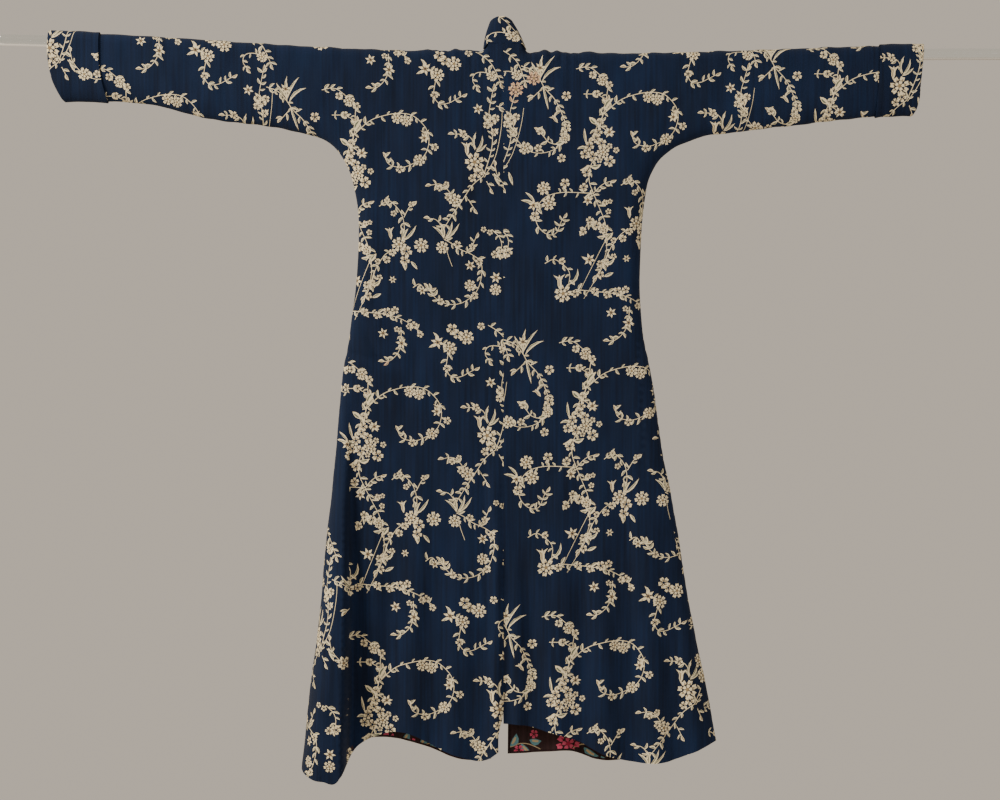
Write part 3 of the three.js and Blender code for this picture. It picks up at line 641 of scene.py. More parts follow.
def leaf(base, tip, width, dye, shade, bend=LEAF_BEND):
    """A leaf from base to tip: its half-width follows LEAF_WIDTHS along a midrib bent like a shallow arc,
    and one half of it is a strip in the shade dye."""
    base, tip = np.array(base, float), np.array(tip, float)
    run = tip - base
    side = np.array([-run[1], run[0]])
    rib = base + LEAF_SHARES[:, None] * run + (bend * LEAF_SHARES * (1 - LEAF_SHARES) * 4)[:, None] * side
    side = side / max(np.hypot(*side), TINY) * width / 2
    upper = rib + LEAF_WIDTHS[:, None] * side
    lower = rib - LEAF_WIDTHS[:, None] * side
    whole = np.concatenate([upper, lower[-2::-1]])
    half = np.concatenate([rib[1:-1], (rib + LEAF_SHADE * (lower - rib))[-2:0:-1]])
    return [(dye, whole), (shade, half)]


def full_turn(count):
    return 2 * math.pi * np.arange(count) / count


def flower(kind, at, radius, turn, dyes):
    """A flower's layers by FLOWERS. A ring's petals run from where they start out to the ring's radius, each
    as wide as its share of the turn, and a disc is a plain many-sided shape."""
    parts = []
    for form, size, count, extra, heart, dye in FLOWERS[kind]:
        if form == "disc":
            parts.append((dyes[dye], polar(at, np.full(count, radius * size), full_turn(count))))
            continue
        radii = np.array([heart, *PETALS[form]["radii"]]) * radius * size
        turns = np.array([0, *PETALS[form]["turns"]]) * math.pi / count
        for angle in turn + extra + full_turn(count):
            parts.append((dyes[dye], polar(at, radii, angle + turns)))
    return parts


def scatter(kinds, rng, dyes):
    """Flowers of each kind at its places, each turned by a seeded draw."""
    parts = []
    for kind, places in kinds.items():
        for x, y, radius in places:
            parts += flower(kind, (x, y), radius, rng.uniform(0, 1), dyes)
    return parts


def tulip(at, tip, width, dyes):
    """A cup of three leaf-shaped petals, the outer two turned out from the middle one."""
    at, tip = np.array(at, float), np.array(tip, float)
    run = tip - at
    side = np.array([-run[1], run[0]])
    foot = at - run * TULIP_SHAPE["foot"]
    wide = width * TULIP_SHAPE["width"]
    parts = []
    for lean in TULIP_SHAPE["leans"]:
        parts += leaf(foot, tip + side * lean, wide, dyes["petal"], dyes["shade"], TULIP_SHAPE["bend"] * lean)
    return parts


def smooth_line(points, rounds=2):
    """Cuts a line's corners twice, each time at a quarter and three quarters of every stretch."""
    line = np.array(points, float)
    for _ in range(rounds):
        near, far = mix(line[:-1], line[1:], 0.25), mix(line[:-1], line[1:], 0.75)
        line = np.concatenate([line[:1], np.stack([near, far], axis=1).reshape(-1, 2), line[-1:]])
    return line


def stem(points, width, dye):
    """A ribbon along a smooth line, narrowing a little to its far end."""
    line = smooth_line(points)
    run = np.gradient(line, axis=0)
    side = np.stack([-run[:, 1], run[:, 0]], axis=1)
    side /= np.maximum(np.linalg.norm(side, axis=1, keepdims=True), TINY)
    half = width / 2 * np.linspace(1, STEM_TAPER, len(line))[:, None]
    return [(dye, np.concatenate([line + side * half, (line - side * half)[::-1]]))]


def leafy(points, rng, dyes):
    """A stem with leaves set along it by turns, each leaning forward, with a bud at its end."""
    line = smooth_line(points)
    along = lengths_along(line)
    ahead = LEAVES["ahead"]

    def at_place(place):
        return np.array([np.interp(place, along, line[:, 0]), np.interp(place, along, line[:, 1])])

    parts = stem(points, STEM_WIDTH, dyes["stem"])
    first = LEAVES["first"] * LEAVES["spacing"]
    for i, place in enumerate(np.arange(first, along[-1], LEAVES["spacing"])):
        at = at_place(place)
        run = at_place(place + ahead) - at
        heading = math.atan2(run[1], run[0]) if place + ahead < along[-1] else 0
        hands = (1,) if i % 2 else (-1,)
        if rng.random() < LEAVES["pairs"]:
            hands = (1, -1)
        for hand in hands:
            angle = heading + hand * rng.uniform(*LEAVES["lean"])
            length = LEAVES["length"] * rng.uniform(*LEAVES["size"])
            width = length * rng.uniform(*LEAVES["width"])
            tip = at + length * np.array([math.cos(angle), math.sin(angle)])
            parts += leaf(at, tip, width, dyes["leaf"], dyes["leaf_shade"], LEAVES["bend"] * hand)
    end = line[-1]
    heading = (end - line[-2]) / max(np.hypot(*(end - line[-2])), TINY)
    bud_tip = end + heading * LEAVES["budLength"]
    return parts + leaf(end - heading, bud_tip, LEAVES["budWidth"], dyes["petal"], dyes["shade"])


def draw_chart():
    """One repeat of the robe's print, as dyes and outlines in chart squares, the lowest ones first."""
    rng = np.random.default_rng(PRINT_SEED)
    parts = []
    for points in BARE_STEMS:
        parts += stem(points, BARE_STEM_WIDTH, DYES["stem"])
    for points in STEMS:
        parts += leafy(points, rng, DYES)
    for x0, y0, x1, y1, width in BLADES:
        bend = rng.uniform(*BLADE_BEND)
        parts += leaf((x0, y0), (x1, y1), width, DYES["leaf"], DYES["leaf_shade"], bend)
    for x0, y0, x1, y1, width in TULIPS:
        parts += tulip((x0, y0), (x1, y1), width, DYES)
    return parts + scatter({"star": STARS, "round": ROUNDS, "rose": ROSES}, rng, DYES)


# The lining's print, in millimetres and the columns above: roses on a dark ground, in a repeat of its own
LINING_REPEAT = (157, 150)
LINING_ORIGIN = (82, -1147)
LINING_STEMS = [
    [(34, 40), (56, 30), (84, 38), (108, 26), (140, 40)], [(110, 95), (86, 118), (60, 108), (40, 118)],
    [(120, 50), (132, 74), (118, 92)], [(20, 66), (44, 80), (70, 72)], [(120, 120), (134, 134), (150, 128)],
]
LINING_ROSES = [(30, 30, 21), (110, 96, 19), (40, 108, 17), (74, 134, 13), (140, 128, 14)]
LINING_ROUNDS = [
    (76, 28, 8), (102, 40, 9), (70, 92, 8), (136, 62, 9), (10, 74, 8), (104, 138, 8), (128, 14, 8),
]
LINING_BLADES = [
    (56, 30, 70, 8, 12), (58, 38, 84, 52, 13), (88, 34, 98, 12, 12), (106, 30, 124, 48, 12),
    (120, 24, 142, 26, 12), (50, 48, 66, 66, 11), (88, 52, 106, 66, 11), (22, 54, 6, 66, 11),
    (54, 92, 76, 78, 10), (94, 80, 84, 66, 10), (126, 84, 146, 78, 11), (98, 114, 84, 126, 10),
    (26, 94, 12, 84, 9), (130, 100, 150, 106, 10), (56, 124, 46, 140, 9), (124, 134, 112, 146, 9),
]
LINING_BLADE_BEND = 0.15
LINING_STEM_WIDTH = 1.8
LINING_SEED = 3

# Which of LINING_FINISH each part of a motif takes
LINING_DYES = {"ground": 0, "petal": 1, "shade": 2, "leaf": 3, "leaf_shade": 4, "stem": 4, "heart": 2}


def draw_lining():
    """One repeat of the lining's print, as dyes and outlines, the lowest ones first."""
    rng = np.random.default_rng(LINING_SEED)
    dyes = LINING_DYES
    parts = []
    for points in LINING_STEMS:
        parts += stem(points, LINING_STEM_WIDTH, dyes["stem"])
    for x0, y0, x1, y1, width in LINING_BLADES:
        parts += leaf((x0, y0), (x1, y1), width, dyes["leaf"], dyes["leaf_shade"], LINING_BLADE_BEND)
    return parts + scatter({"round": LINING_ROUNDS, "rose": LINING_ROSES}, rng, dyes)


CHART = draw_chart()
LINING_CHART = draw_lining()


def laid(parts, low, high, origin, across, down, step, lean):
    """Repeats a chart over a rectangle of flat cloth. Across and down are the two steps of the repeat, in
    squares, and lean moves the chart sideways as it goes down."""
    boxes = [(dye, shape, shape.min(0), shape.max(0)) for dye, shape in parts]
    steps = np.array([[across[0], across[1]], [down[0], down[1]]], float)
    corners = np.array([(low[0], low[1]), (low[0], high[1]), (high[0], low[1]), (high[0], high[1])], float)
    squares = (corners - origin) / step * [1, -1]
    counts = squares @ np.linalg.inv(steps)
    first, last = np.floor(counts.min(0)).astype(int) - 1, np.ceil(counts.max(0)).astype(int) + 1
    found = []
    for i in range(first[0], last[0] + 1):
        for j in range(first[1], last[1] + 1):
            shift = i * steps[0] + j * steps[1]
            for dye, shape, least, most in boxes:
                x0 = origin[0] + step * (least[0] + shift[0] - LEAN_REACH)
                x1 = origin[0] + step * (most[0] + shift[0] + LEAN_REACH)
                z1 = origin[1] - step * (least[1] + shift[1])
                z0 = origin[1] - step * (most[1] + shift[1])
                if x1 < low[0] or x0 > high[0] or z1 < low[1] or z0 > high[1]:
                    continue
                squares_x = shape[:, 0] + lean * shape[:, 1] + shift[0]
                squares_y = shape[:, 1] + shift[1]
                place = np.stack([origin[0] + step * squares_x, origin[1] - step * squares_y], axis=1)
                found.append((dye, place))
    return found


def near_rosy(shape):
    """True where a printed shape lies in one of the few places whose flowers are rosy."""
    x, z = shape.mean(axis=0)
    return any(math.hypot(x - spot_x, z - spot_z) < reach for spot_x, spot_z, reach in ROSY_PLACES)


def robe_print(side, shift=(0, 0)):
    """The robe's print for a half of the robe, as a function that fills a rectangle of flat cloth. Where the
    print isn't moved, it has the two roses below the neck."""
    chart = CHARTS[side]
    origin = (chart["origin"][0] + shift[0], chart["origin"][1] + shift[1])
    lean = chart["down"][0] / chart["down"][1]

    def fill(low, high):
        shapes = laid(CHART, low, high, origin, chart["across"], chart["down"], CHART_STEP, lean)
        shapes = [
            (ROSY if dye == DYES["petal"] and near_rosy(shape) else dye, shape) for dye, shape in shapes
        ]
        if not any(shift):
            for x, z, radius in NECK_ROSES:
                shapes += flower("rose", (x, z), radius, NECK_ROSE_TURN, {**DYES, "petal": ROSY})
        return shapes

    return fill


def rose_print(low, high):
    across, down = (LINING_REPEAT[0], 0), (LINING_REPEAT[0] / 2, LINING_REPEAT[1])
    return laid(LINING_CHART, low, high, LINING_ORIGIN, across, down, 1, 0)


def resample(line, step):
    """The same line with points at most a step apart."""
    line = np.asarray(line, float)
    along = lengths_along(line)
    s = np.linspace(0, along[-1], max(int(math.ceil(along[-1] / step)) + 1, 2))
    return np.stack([np.interp(s, along, line[:, 0]), np.interp(s, along, line[:, 1])], axis=1)


def within(starts, ends, points):
    """True where a point lies inside the outline with these sides, by counting the sides crossed on the way
    out. Points are taken in bands of height, each with only the sides that reach into its band."""
    lowest, highest = np.minimum(starts[:, 1], ends[:, 1]), np.maximum(starts[:, 1], ends[:, 1])
    inside = np.zeros(len(points), bool)
    for band in np.array_split(np.argsort(points[:, 1]), len(points) // BAND_POINTS + 1):
        x, y = points[band, :1], points[band, 1:]
        near = (highest > y.min()) & (lowest <= y.max()) if len(band) else []
        (x0, y0), (x1, y1) = starts[near].T, ends[near].T
        crosses = (y0 > y) != (y1 > y)
        at = x0 + (y - y0) * (x1 - x0) / np.where(y1 == y0, 1, y1 - y0)
        inside[band] = (crosses & (x < at)).sum(axis=1) % 2 == 1
    return inside


def inside_outline(outline, points):
    return within(outline, np.roll(outline, -1, axis=0), points)


def point_rows(outline, step):
    """Rows of points a step apart inside an outline, every other row moved half a step."""
    low, high = outline.min(0), outline.max(0)
    xs, ys = np.arange(low[0] + step / 2, high[0], step), np.arange(low[1] + step / 2, high[1], step)
    grid_x, grid_y = np.meshgrid(xs, ys)
    grid_x[1::2] += step / 2
    grid = np.stack([grid_x.ravel(), grid_y.ravel()], axis=1)
    return grid[inside_outline(outline, grid)]


def net(points, edges):
    """A Delaunay net that keeps the edges: points, and triangles that run anticlockwise."""
    found = delaunay_2d_cdt([Vector(p) for p in points], edges, [], 0, CUT_CLOSENESS, False)
    points, triangles = np.array(found[0]), np.array(found[2])
    a, b, c = points[triangles[:, 0]], points[triangles[:, 1]], points[triangles[:, 2]]
    area = ((b - a)[:, 0] * (c - a)[:, 1] - (b - a)[:, 1] * (c - a)[:, 0]) / 2
    triangles[area < 0] = triangles[area < 0][:, ::-1]
    solid = np.abs(area) > SLIVER
    return points, triangles[solid], np.abs(area[solid])


def cut_cloth(outline, shapes, step):
    """Flat printed cloth: a net over the outline, rows of points, and the printed shapes, each triangle with
    the dye of the topmost shape round its middle. Gives points, triangles, dyes, the cloth's area, and the
    edges that lie on the outline."""
    points, edges = [outline, point_rows(outline, step)], []
    ring = np.arange(len(outline))
    edges += np.stack([ring, np.roll(ring, -1)], axis=1).tolist()
    count = len(outline) + len(points[1])
    for _, shape in shapes:
        ring = count + np.arange(len(shape))
        edges += np.stack([ring, np.roll(ring, -1)], axis=1).tolist()
        points.append(shape)
        count += len(shape)
    flat, triangles, areas = net(np.concatenate(points), edges)
    middles = flat[triangles].mean(axis=1)
    kept = inside_outline(outline, middles)
    triangles, areas, middles = triangles[kept], areas[kept], middles[kept]
    order = np.argsort(middles[:, 0])
    sorted_x, sorted_y = middles[order].T
    dyes = np.zeros(len(triangles), int)
    for dye, shape in shapes:
        low, high = shape.min(0), shape.max(0)
        first, last = np.searchsorted(sorted_x, (low[0], high[0]))
        near = order[first:last][(sorted_y[first:last] > low[1]) & (sorted_y[first:last] < high[1])]
        if len(near):
            dyes[near[inside_outline(shape, middles[near])]] = dye
    used, triangles = np.unique(triangles, return_inverse=True)
    triangles = triangles.reshape(-1, 3)
    sides = np.concatenate([triangles[:, [0, 1]], triangles[:, [1, 2]], triangles[:, [2, 0]]])
    codes = sides.min(axis=1) * len(used) + sides.max(axis=1)
    _, where, times = np.unique(codes, return_index=True, return_counts=True)
    return flat[used], triangles, dyes, float(areas.sum()), sides[where[times == 1]]


def linear(colour):
    """An sRGB hex colour as the linear numbers that shaders take."""
    parts = np.array([int(colour[i:i + 2], 16) for i in (1, 3, 5)]) / 255
    return (*np.where(parts <= 0.04045, parts / 12.92, ((parts + 0.055) / 1.055) ** 2.4), 1.0)


def add(tree, kind, inputs=None, **settings):
    """Adds a node, with its settings, and its inputs' values or links."""
    node = tree.nodes.new(kind)
    for name, value in settings.items():
        setattr(node, name, value)
    for name, value in (inputs or {}).items():
        if isinstance(value, bpy.types.NodeSocket):
            tree.links.new(value, node.inputs[name])
        else:
            node.inputs[name].default_value = value
    return node


def new_material(name, colour, values):
    material = bpy.data.materials.new(name)
    material.use_nodes = True
    tree = material.node_tree
    tree.nodes.clear()
    shader = add(tree, "ShaderNodeBsdfPrincipled", {"Base Color": linear(colour), **values})
    add(tree, "ShaderNodeOutputMaterial", {"Surface": shader.outputs[0]})
    material.diffuse_color = linear(colour)
    return material, tree, shader


CLOTH_MAP = "cloth"
THREAD_PITCH = 0.0011
WAVE_RATE = 20  # Blender's wave texture gives this many ridges for each 2 pi of its scale
SLUB_WIDTH = 0.0045
SLUB_LENGTH = 0.16
SLUB_HEIGHT = 1.2
WEAVE_HEIGHT = 0.00035
SLUB_DETAIL = 3.0
CLOUD_SCALE = 7.0
CLOUD_DETAIL = 4.0
DYE_STREAKS = 0.55
DYE_CLOUDS = 0.45
DYE_RAMP = (0.36, 0.64)
COTTON_SHINE = {"IOR": 1.5, "Specular IOR Level": 0.15}


def noise(tree, place, scale, detail):
    texture = add(tree, "ShaderNodeTexNoise", {"Vector": place, "Scale": scale, "Detail": detail})
    return texture.outputs["Fac"]


def maths(tree, operation, *values):
    return add(tree, "ShaderNodeMath", dict(enumerate(values)), operation=operation).outputs[0]


def woven(tree, shader):
    """Plain weave: two sets of ridges at right angles along the cloth's own map, and thicker threads here
    and there. Such cotton usually has a thread every 0.45 mm, drawn here every 1.1 mm to show close up."""
    place = add(tree, "ShaderNodeUVMap", uv_map=CLOTH_MAP).outputs[0]
    ridges = [
        add(tree, "ShaderNodeTexWave", {
            "Vector": place, "Scale": 2 * math.pi / THREAD_PITCH / WAVE_RATE, "Distortion": 0.6,
            "Detail": 1.0, "Detail Scale": 2.0,
        }, wave_type="BANDS", bands_direction=direction).outputs["Fac"]
        for direction in ("X", "Y")
    ]
    weave = maths(tree, "ADD", *ridges)
    stretched = add(tree, "ShaderNodeMapping", {
        "Vector": place, "Scale": (1 / SLUB_WIDTH, 1 / SLUB_LENGTH, 1),
    }).outputs[0]
    slubs = noise(tree, stretched, 1.0, SLUB_DETAIL)
    both = maths(tree, "MULTIPLY_ADD", slubs, SLUB_HEIGHT, weave)
    bump = add(tree, "ShaderNodeBump", {"Strength": 0.5, "Distance": WEAVE_HEIGHT, "Height": both})
    tree.links.new(bump.outputs[0], shader.inputs["Normal"])
    return place, slubs


def dyed_cotton(name, colour, deep, pale):
    """Plain-weave cotton, dyed in the piece: the eye gets a matt dark ground, streaked along the warp where
    threads took the dye unevenly, and clouded where it has worn."""
    material, tree, shader = new_material(name, colour, {
        "Roughness": 0.82, **COTTON_SHINE, "Sheen Weight": 0.03, "Sheen Roughness": 0.45,
    })
    place, slubs = woven(tree, shader)
    clouds = noise(tree, place, CLOUD_SCALE, CLOUD_DETAIL)
    streaks = maths(tree, "MULTIPLY", slubs, DYE_STREAKS)
    share = maths(tree, "MULTIPLY_ADD", clouds, DYE_CLOUDS, streaks)
    ramp = add(tree, "ShaderNodeValToRGB", {"Fac": share})
    for stop, position, shade in zip(ramp.color_ramp.elements, DYE_RAMP, (deep, pale)):
        stop.position = position
        stop.color = linear(shade)
    tree.links.new(ramp.outputs[0], shader.inputs["Base Color"])
    return material


def printed_dye(name, colour):
    """A flat block-printed dye on the same cotton: the eye gets one even matt colour, over the same weave."""
    material, tree, shader = new_material(name, colour, {"Roughness": 0.86, **COTTON_SHINE})
    woven(tree, shader)
    return material


def clear_acrylic():
    """Extruded clear acrylic rod, polished: the eye gets bright lines along it and the wall bent behind."""
    values = {"Roughness": 0.12, "IOR": 1.49, "Transmission Weight": 1.0}
    return new_material("clear_extruded_acrylic", "#f2f6f5", values)[0]


ROBE_DYES = [
    dyed_cotton("indigo_dyed_cotton", "#09182e", "#081327", "#0c1e3a"),
    printed_dye("cream_discharge_print", "#decfa9"),
    printed_dye("tan_block_print", "#8a7658"),
    printed_dye("grey_green_block_print", "#676c5a"),
    printed_dye("rosy_tan_block_print", "#c9a583"),
]
LINING_FINISH = [
    dyed_cotton("brown_black_dyed_lining", "#2c1d20", "#231817", "#382526"),
    printed_dye("rose_pink_lining_print", "#c8526c"),
    printed_dye("crimson_lining_print", "#a22a45"),
    printed_dye("teal_lining_print", "#5d878d"),
    printed_dye("tan_lining_print", "#b8a17c"),
]
ROD_FINISH = clear_acrylic()


def surface(place, flat, depth):
    """Hung places of flat points, and the cloth's normal there: the cross product of two small steps."""
    here = place(flat, depth)
    along = place(flat + (NORMAL_STEP, 0), depth) - here
    up = place(flat + (0, NORMAL_STEP), depth) - here
    normal = np.cross(along, up)
    return here, normal / np.maximum(np.linalg.norm(normal, axis=1, keepdims=True), TINY)


def put(name, data):
    """Adds an object to the scene."""
    thing = bpy.data.objects.new(name, data)
    bpy.context.scene.collection.objects.link(thing)
    return thing


def put_piece(name, mesh, node):
    piece = put(name, mesh)
    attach(piece, "root")
    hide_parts(node)
    return piece


def sew(node, outline, fill, place, wall=SHOWN_CLOTH, step=MESH_STEP, lining=False, flip=False):
    """Makes a cloth piece: the printed face, a plain inner face a wall's thickness behind it, and a narrow
    rim between them. Place gives hung points by flat ones and a depth below the printed face."""
    name = f"{node}_cloth"
    finish = LINING_FINISH if lining else ROBE_DYES
    shapes = fill(outline.min(0), outline.max(0))
    flat, printed, dyes, area, rim = cut_cloth(outline, shapes, step)
    rim_points, rim = np.unique(rim, return_inverse=True)
    rim = rim.reshape(-1, 2)
    edge = flat[rim_points]
    inner_flat, plain, _ = net(np.concatenate([edge, point_rows(outline, step)]), rim.tolist())
    plain = plain[within(edge[rim[:, 0]], edge[rim[:, 1]], inner_flat[plain].mean(axis=1))]
    outer, outer_normals = surface(place, flat, 0)
    inner, inner_normals = surface(place, inner_flat, wall)
    outer_rim, inner_rim = rim_points[rim], rim + len(flat)
    rim_faces = np.stack([outer_rim[:, 1], outer_rim[:, 0], inner_rim[:, 0], inner_rim[:, 1]], axis=1)
    groups = [printed, plain[:, ::-1] + len(flat), rim_faces]
    if flip:
        groups = [faces[:, ::-1] for faces in groups]
        outer_normals, inner_normals = -outer_normals, -inner_normals
    mesh = bpy.data.meshes.new(name)
    places = np.concatenate([outer, inner]) * MM
    mesh.from_pydata(places.tolist(), [], [face for faces in groups for face in faces.tolist()])
    indices = np.concatenate([dyes, np.full(len(plain), len(finish)), np.zeros(len(rim), int)])
    mesh.polygons.foreach_set("material_index", indices)
    mesh.polygons.foreach_set("use_smooth", np.ones(len(indices), bool))
    corners = np.empty(len(mesh.loops), int)
    mesh.loops.foreach_get("vertex_index", corners)
    cloth_map = mesh.uv_layers.new(name=CLOTH_MAP)
    cloth_map.data.foreach_set("uv", (np.concatenate([flat, inner_flat])[corners] * MM).ravel())
    mesh.normals_split_custom_set_from_vertices(np.concatenate([outer_normals, -inner_normals]).tolist())
    for material in (*finish, LINING_FINISH[0]):
        mesh.materials.append(material)
    piece = put_piece(name, mesh, node)
    return piece, flat, area


def view_line(layer, xs, zs):
    """A line of the view as flat cloth."""
    xs, zs = np.broadcast_arrays(np.asarray(xs, float), np.asarray(zs, float))
    line = resample(np.stack([xs, zs], axis=1), OUTLINE_STEP)
    return np.stack(flatten(layer, line[:, 0], line[:, 1]), axis=1)


def closed(*lines):
    """One outline from lines that follow each other, without the points that they share."""
    points = np.concatenate([np.asarray(line) for line in lines])
    gap = np.hypot(*(points - np.roll(points, 1, axis=0)).T)
    return points[gap > SHARED_GAP]


SEAM_PAST_HEM = 20
VENT_EASE = 20
INNER_TOP = -30
SIDE_START = UNDERARM - 1


def gore_seam(side, layer, gap):
    """The line where a gore meets its panel, from its tip down to the hem."""
    inward = INWARD[side]
    edge = EDGES[side]["x_at"]
    zs = np.linspace(GORES[side]["tip"], HEM - SEAM_PAST_HEM, LINE_POINTS)
    xs = edge(zs) + inward * (gore_inset(side, layer, zs) + gap)
    hem = HEMS[layer][side](xs)
    keep = zs > hem
    last_x = xs[keep][-1]
    return np.append(xs[keep], last_x), np.append(zs[keep], hem[keep][-1])


def inner_edge(layer, side, z):
    """Where a panel ends at the middle: the open front, or the centre seam and the free edges below it."""
    z = np.asarray(z, float)
    if layer == "front":
        return mix(FRONT_EDGE[side]["neck"], FRONT_EDGE[side]["hem"], z / HEM)
    if side == "right":
        return np.full(z.shape, CENTRE_SEAM + SEAM_GAP / 2)
    swing = VENT_SWING * ease(SEAM_END + VENT_EASE, SEAM_END - VENT_EASE, z)
    return CENTRE_SEAM - SEAM_GAP / 2 - swing


def body_outline(layer, side):
    """A body panel in the flat: down the armhole and the side, down the gore's seam, along the hem to the
    middle, up the inner edge and back along the shoulder."""
    inward = INWARD[side]
    armhole = ARMHOLE[side] + inward * SEAM_GAP / 2
    top = float(upper_edge(layer, np.array([armhole]))[0])
    seam_x, seam_z = gore_seam(side, layer, SEAM_GAP / 2)
    side_z = np.linspace(SIDE_START, GORES[side]["tip"], LINE_POINTS)
    side_x = EDGES[side]["x_at"](side_z)
    hem_inner = float(inner_edge(layer, side, HEM))
    hem_x = np.linspace(seam_x[-1], hem_inner, LINE_POINTS)
    inner_z = np.linspace(float(HEMS[layer][side](np.array([hem_inner]))[0]), INNER_TOP, LINE_POINTS)
    start = float(inner_edge(layer, side, 0))
    shoulder_x = np.linspace(start, armhole, LINE_POINTS)
    return closed(
        view_line(layer, armhole, np.linspace(top, UNDERARM, LINE_POINTS)),
        view_line(layer, side_x, side_z),
        view_line(layer, seam_x, seam_z),
        view_line(layer, hem_x, HEMS[layer][side](hem_x)),
        view_line(layer, inner_edge(layer, side, inner_z), inner_z),
        view_line(layer, shoulder_x, upper_edge(layer, shoulder_x)),
    )


def body_panel(layer, side):
    sew(
        f"{layer}_{side}", body_outline(layer, side), robe_print(side, PRINT_SHIFTS[layer]),
        lambda flat, depth: hang(layer, *flat.T, CLOTH / 2 - depth), flip=layer == "front")


def sleeve_ridge(u):
    return top_line(u) + TOP_SLACK


# Heights from which a tube's two long edges are looked for
TUBE_START = {"under": -60.0, "ridge": 30.0}


def unrolled_tube(side, near_line, far_line):
    """A sleeve or cuff cut open along its underside: the back half as it lies, and the front half turned
    up over the ridge. Near_line and far_line give x by height."""
    under_at = EDGES[side]["z_at"]

    def upright(line):
        low_x, top_x = line(np.array([TUBE_START["under"]])), line(np.array([TUBE_START["ridge"]]))
        for _ in range(SETTLE_ROUNDS):
            low_x, top_x = line(under_at(low_x)), line(top_line(top_x))
        zs = np.linspace(float(under_at(low_x)[0]), float(top_line(top_x)[0]), LINE_POINTS)
        return line(zs), zs

    near, far = upright(near_line), upright(far_line)
    under_x = np.linspace(near[0][0], far[0][0], 2 * LINE_POINTS)
    halves = {}
    for layer in OUTWARD_Y:
        lines = [
            view_line(layer, *near), view_line(layer, under_x, under_at(under_x)), view_line(layer, *far),
        ]
        if layer == "front":
            for line in lines:
                line[:, 1] = 2 * sleeve_ridge(line[:, 0]) - line[:, 1]
        halves[layer] = lines
    up, under, out = halves["back"]
    front_up, front_under, front_out = halves["front"]
    return closed(up, front_up[::-1], front_under, front_out, out[::-1], under[::-1])


def hang_tube(u, v, lift):
    """Hangs unrolled sleeve cloth: what lies past the ridge goes down the front."""
    over = v > sleeve_ridge(u)
    v_front = 2 * sleeve_ridge(u) - v
    front, back = hang("front", u, v_front, lift), hang("back", u, v, lift)
    return np.where(over[:, None], front, back)


def sleeve(side):
    seam = ARMHOLE[side] - INWARD[side] * SEAM_GAP / 2
    outline = unrolled_tube(side, lambda z: np.full(z.shape, seam), CUFF_LINES[side]["end"])
    sew(
        f"sleeve_{side}", outline, robe_print(side),
        lambda flat, depth: hang_tube(*flat.T, CLOTH / 2 - depth))


CUFF_LIFT = 3.1
CUFF_FOLD = 2.3
CUFF_REACH = 9
CUFF_OVERHANG = 2.5
CUFF_FLARE = 0.7
CUFF_FLARE_REACH = 12


def cuff(side):
    """A sleeve end turned back over itself: the cloth lies over the sleeve, rolls round the sleeve's end in
    a half circle, and runs a little way back inside."""
    outward = -INWARD[side]
    end, inner = CUFF_LINES[side]["end"], CUFF_LINES[side]["inner"]
    fold = outward * (CUFF_OVERHANG - CUFF_FOLD)
    roll = math.pi * CUFF_FOLD
    outline = unrolled_tube(side, inner, lambda z: end(z) + fold + outward * (roll + CUFF_REACH))

    def place(flat, depth):
        u, v = flat.T
        height = np.minimum(v, 2 * sleeve_ridge(u) - v)
        fold_x = end(height) + fold
        past = (u - fold_x) * outward
        angle = np.clip(past / CUFF_FOLD, 0, math.pi)
        folded = np.where(past > roll, roll - past, (CUFF_FOLD - depth) * np.sin(angle))
        x = np.where(past > 0, fold_x + outward * folded, u)
        lift = CUFF_LIFT - depth - (CUFF_FOLD - depth) * (1 - np.cos(angle))
        lift += CUFF_FLARE * ease(CUFF_FLARE_REACH, 0, (u - inner(height)) * outward)
        return hang_tube(x, v, lift)

    name = f"cuff_{side}"
    sewn = sew(name, outline, robe_print(side, PRINT_SHIFTS[name]), place, step=MESH_STEP / 2)


GORE_SIDE_LINE = {"above": 20, "below": 60}


def gore(side):
    """A gore in the flat, opened out past the robe's side: the back half lies as it hangs, and the front
    half goes on beyond the side line."""
    inward = INWARD[side]
    edge = EDGES[side]["x_at"]
    top, foot = GORES[side]["tip"] + GORE_SIDE_LINE["above"], HEM - GORE_SIDE_LINE["below"]
    zs = np.linspace(top, foot, 2 * LINE_POINTS)
    lines = {layer: np.stack(flatten(layer, edge(zs), zs), axis=1)[::-1] for layer in OUTWARD_Y}

    def side_line(layer, v):
        return np.interp(v, lines[layer][:, 1], lines[layer][:, 0])

    def turned(line):
        both = side_line("back", line[:, 1]) + side_line("front", line[:, 1])
        return np.stack([both - line[:, 0], line[:, 1]], axis=1)

    corner = {}
    for layer in OUTWARD_Y:
        x = edge(np.array([float(HEM)]))
        for _ in range(SETTLE_ROUNDS):
            x = edge(HEMS[layer][side](x))
        corner[layer] = float(x[0])
    seams = {layer: gore_seam(side, layer, -SEAM_GAP / 2) for layer in OUTWARD_Y}
    hems = {layer: np.linspace(seams[layer][0][-1], corner[layer], LINE_POINTS) for layer in OUTWARD_Y}
    outline = closed(
        view_line("back", *seams["back"]),
        view_line("back", hems["back"], HEMS["back"][side](hems["back"])),
        turned(view_line("front", hems["front"][::-1], HEMS["front"][side](hems["front"][::-1]))),
        turned(view_line("front", seams["front"][0][::-1], seams["front"][1][::-1])),
    )

    def place(flat, depth):
        u, v = flat.T
        past = (u - side_line("back", v)) * inward < 0
        front_u = side_line("back", v) + side_line("front", v) - u
        lift = CLOTH / 2 - depth
        return np.where(past[:, None], hang("front", front_u, v, lift), hang("back", u, v, lift))

    name = f"gore_{side}"
    sew(name, outline, robe_print(side, PRINT_SHIFTS[name]), place)


LINING_TOP = -28
LINING_LIFT = -2.4
LINING_CLOTH = 0.8
LINING_INSET = 4


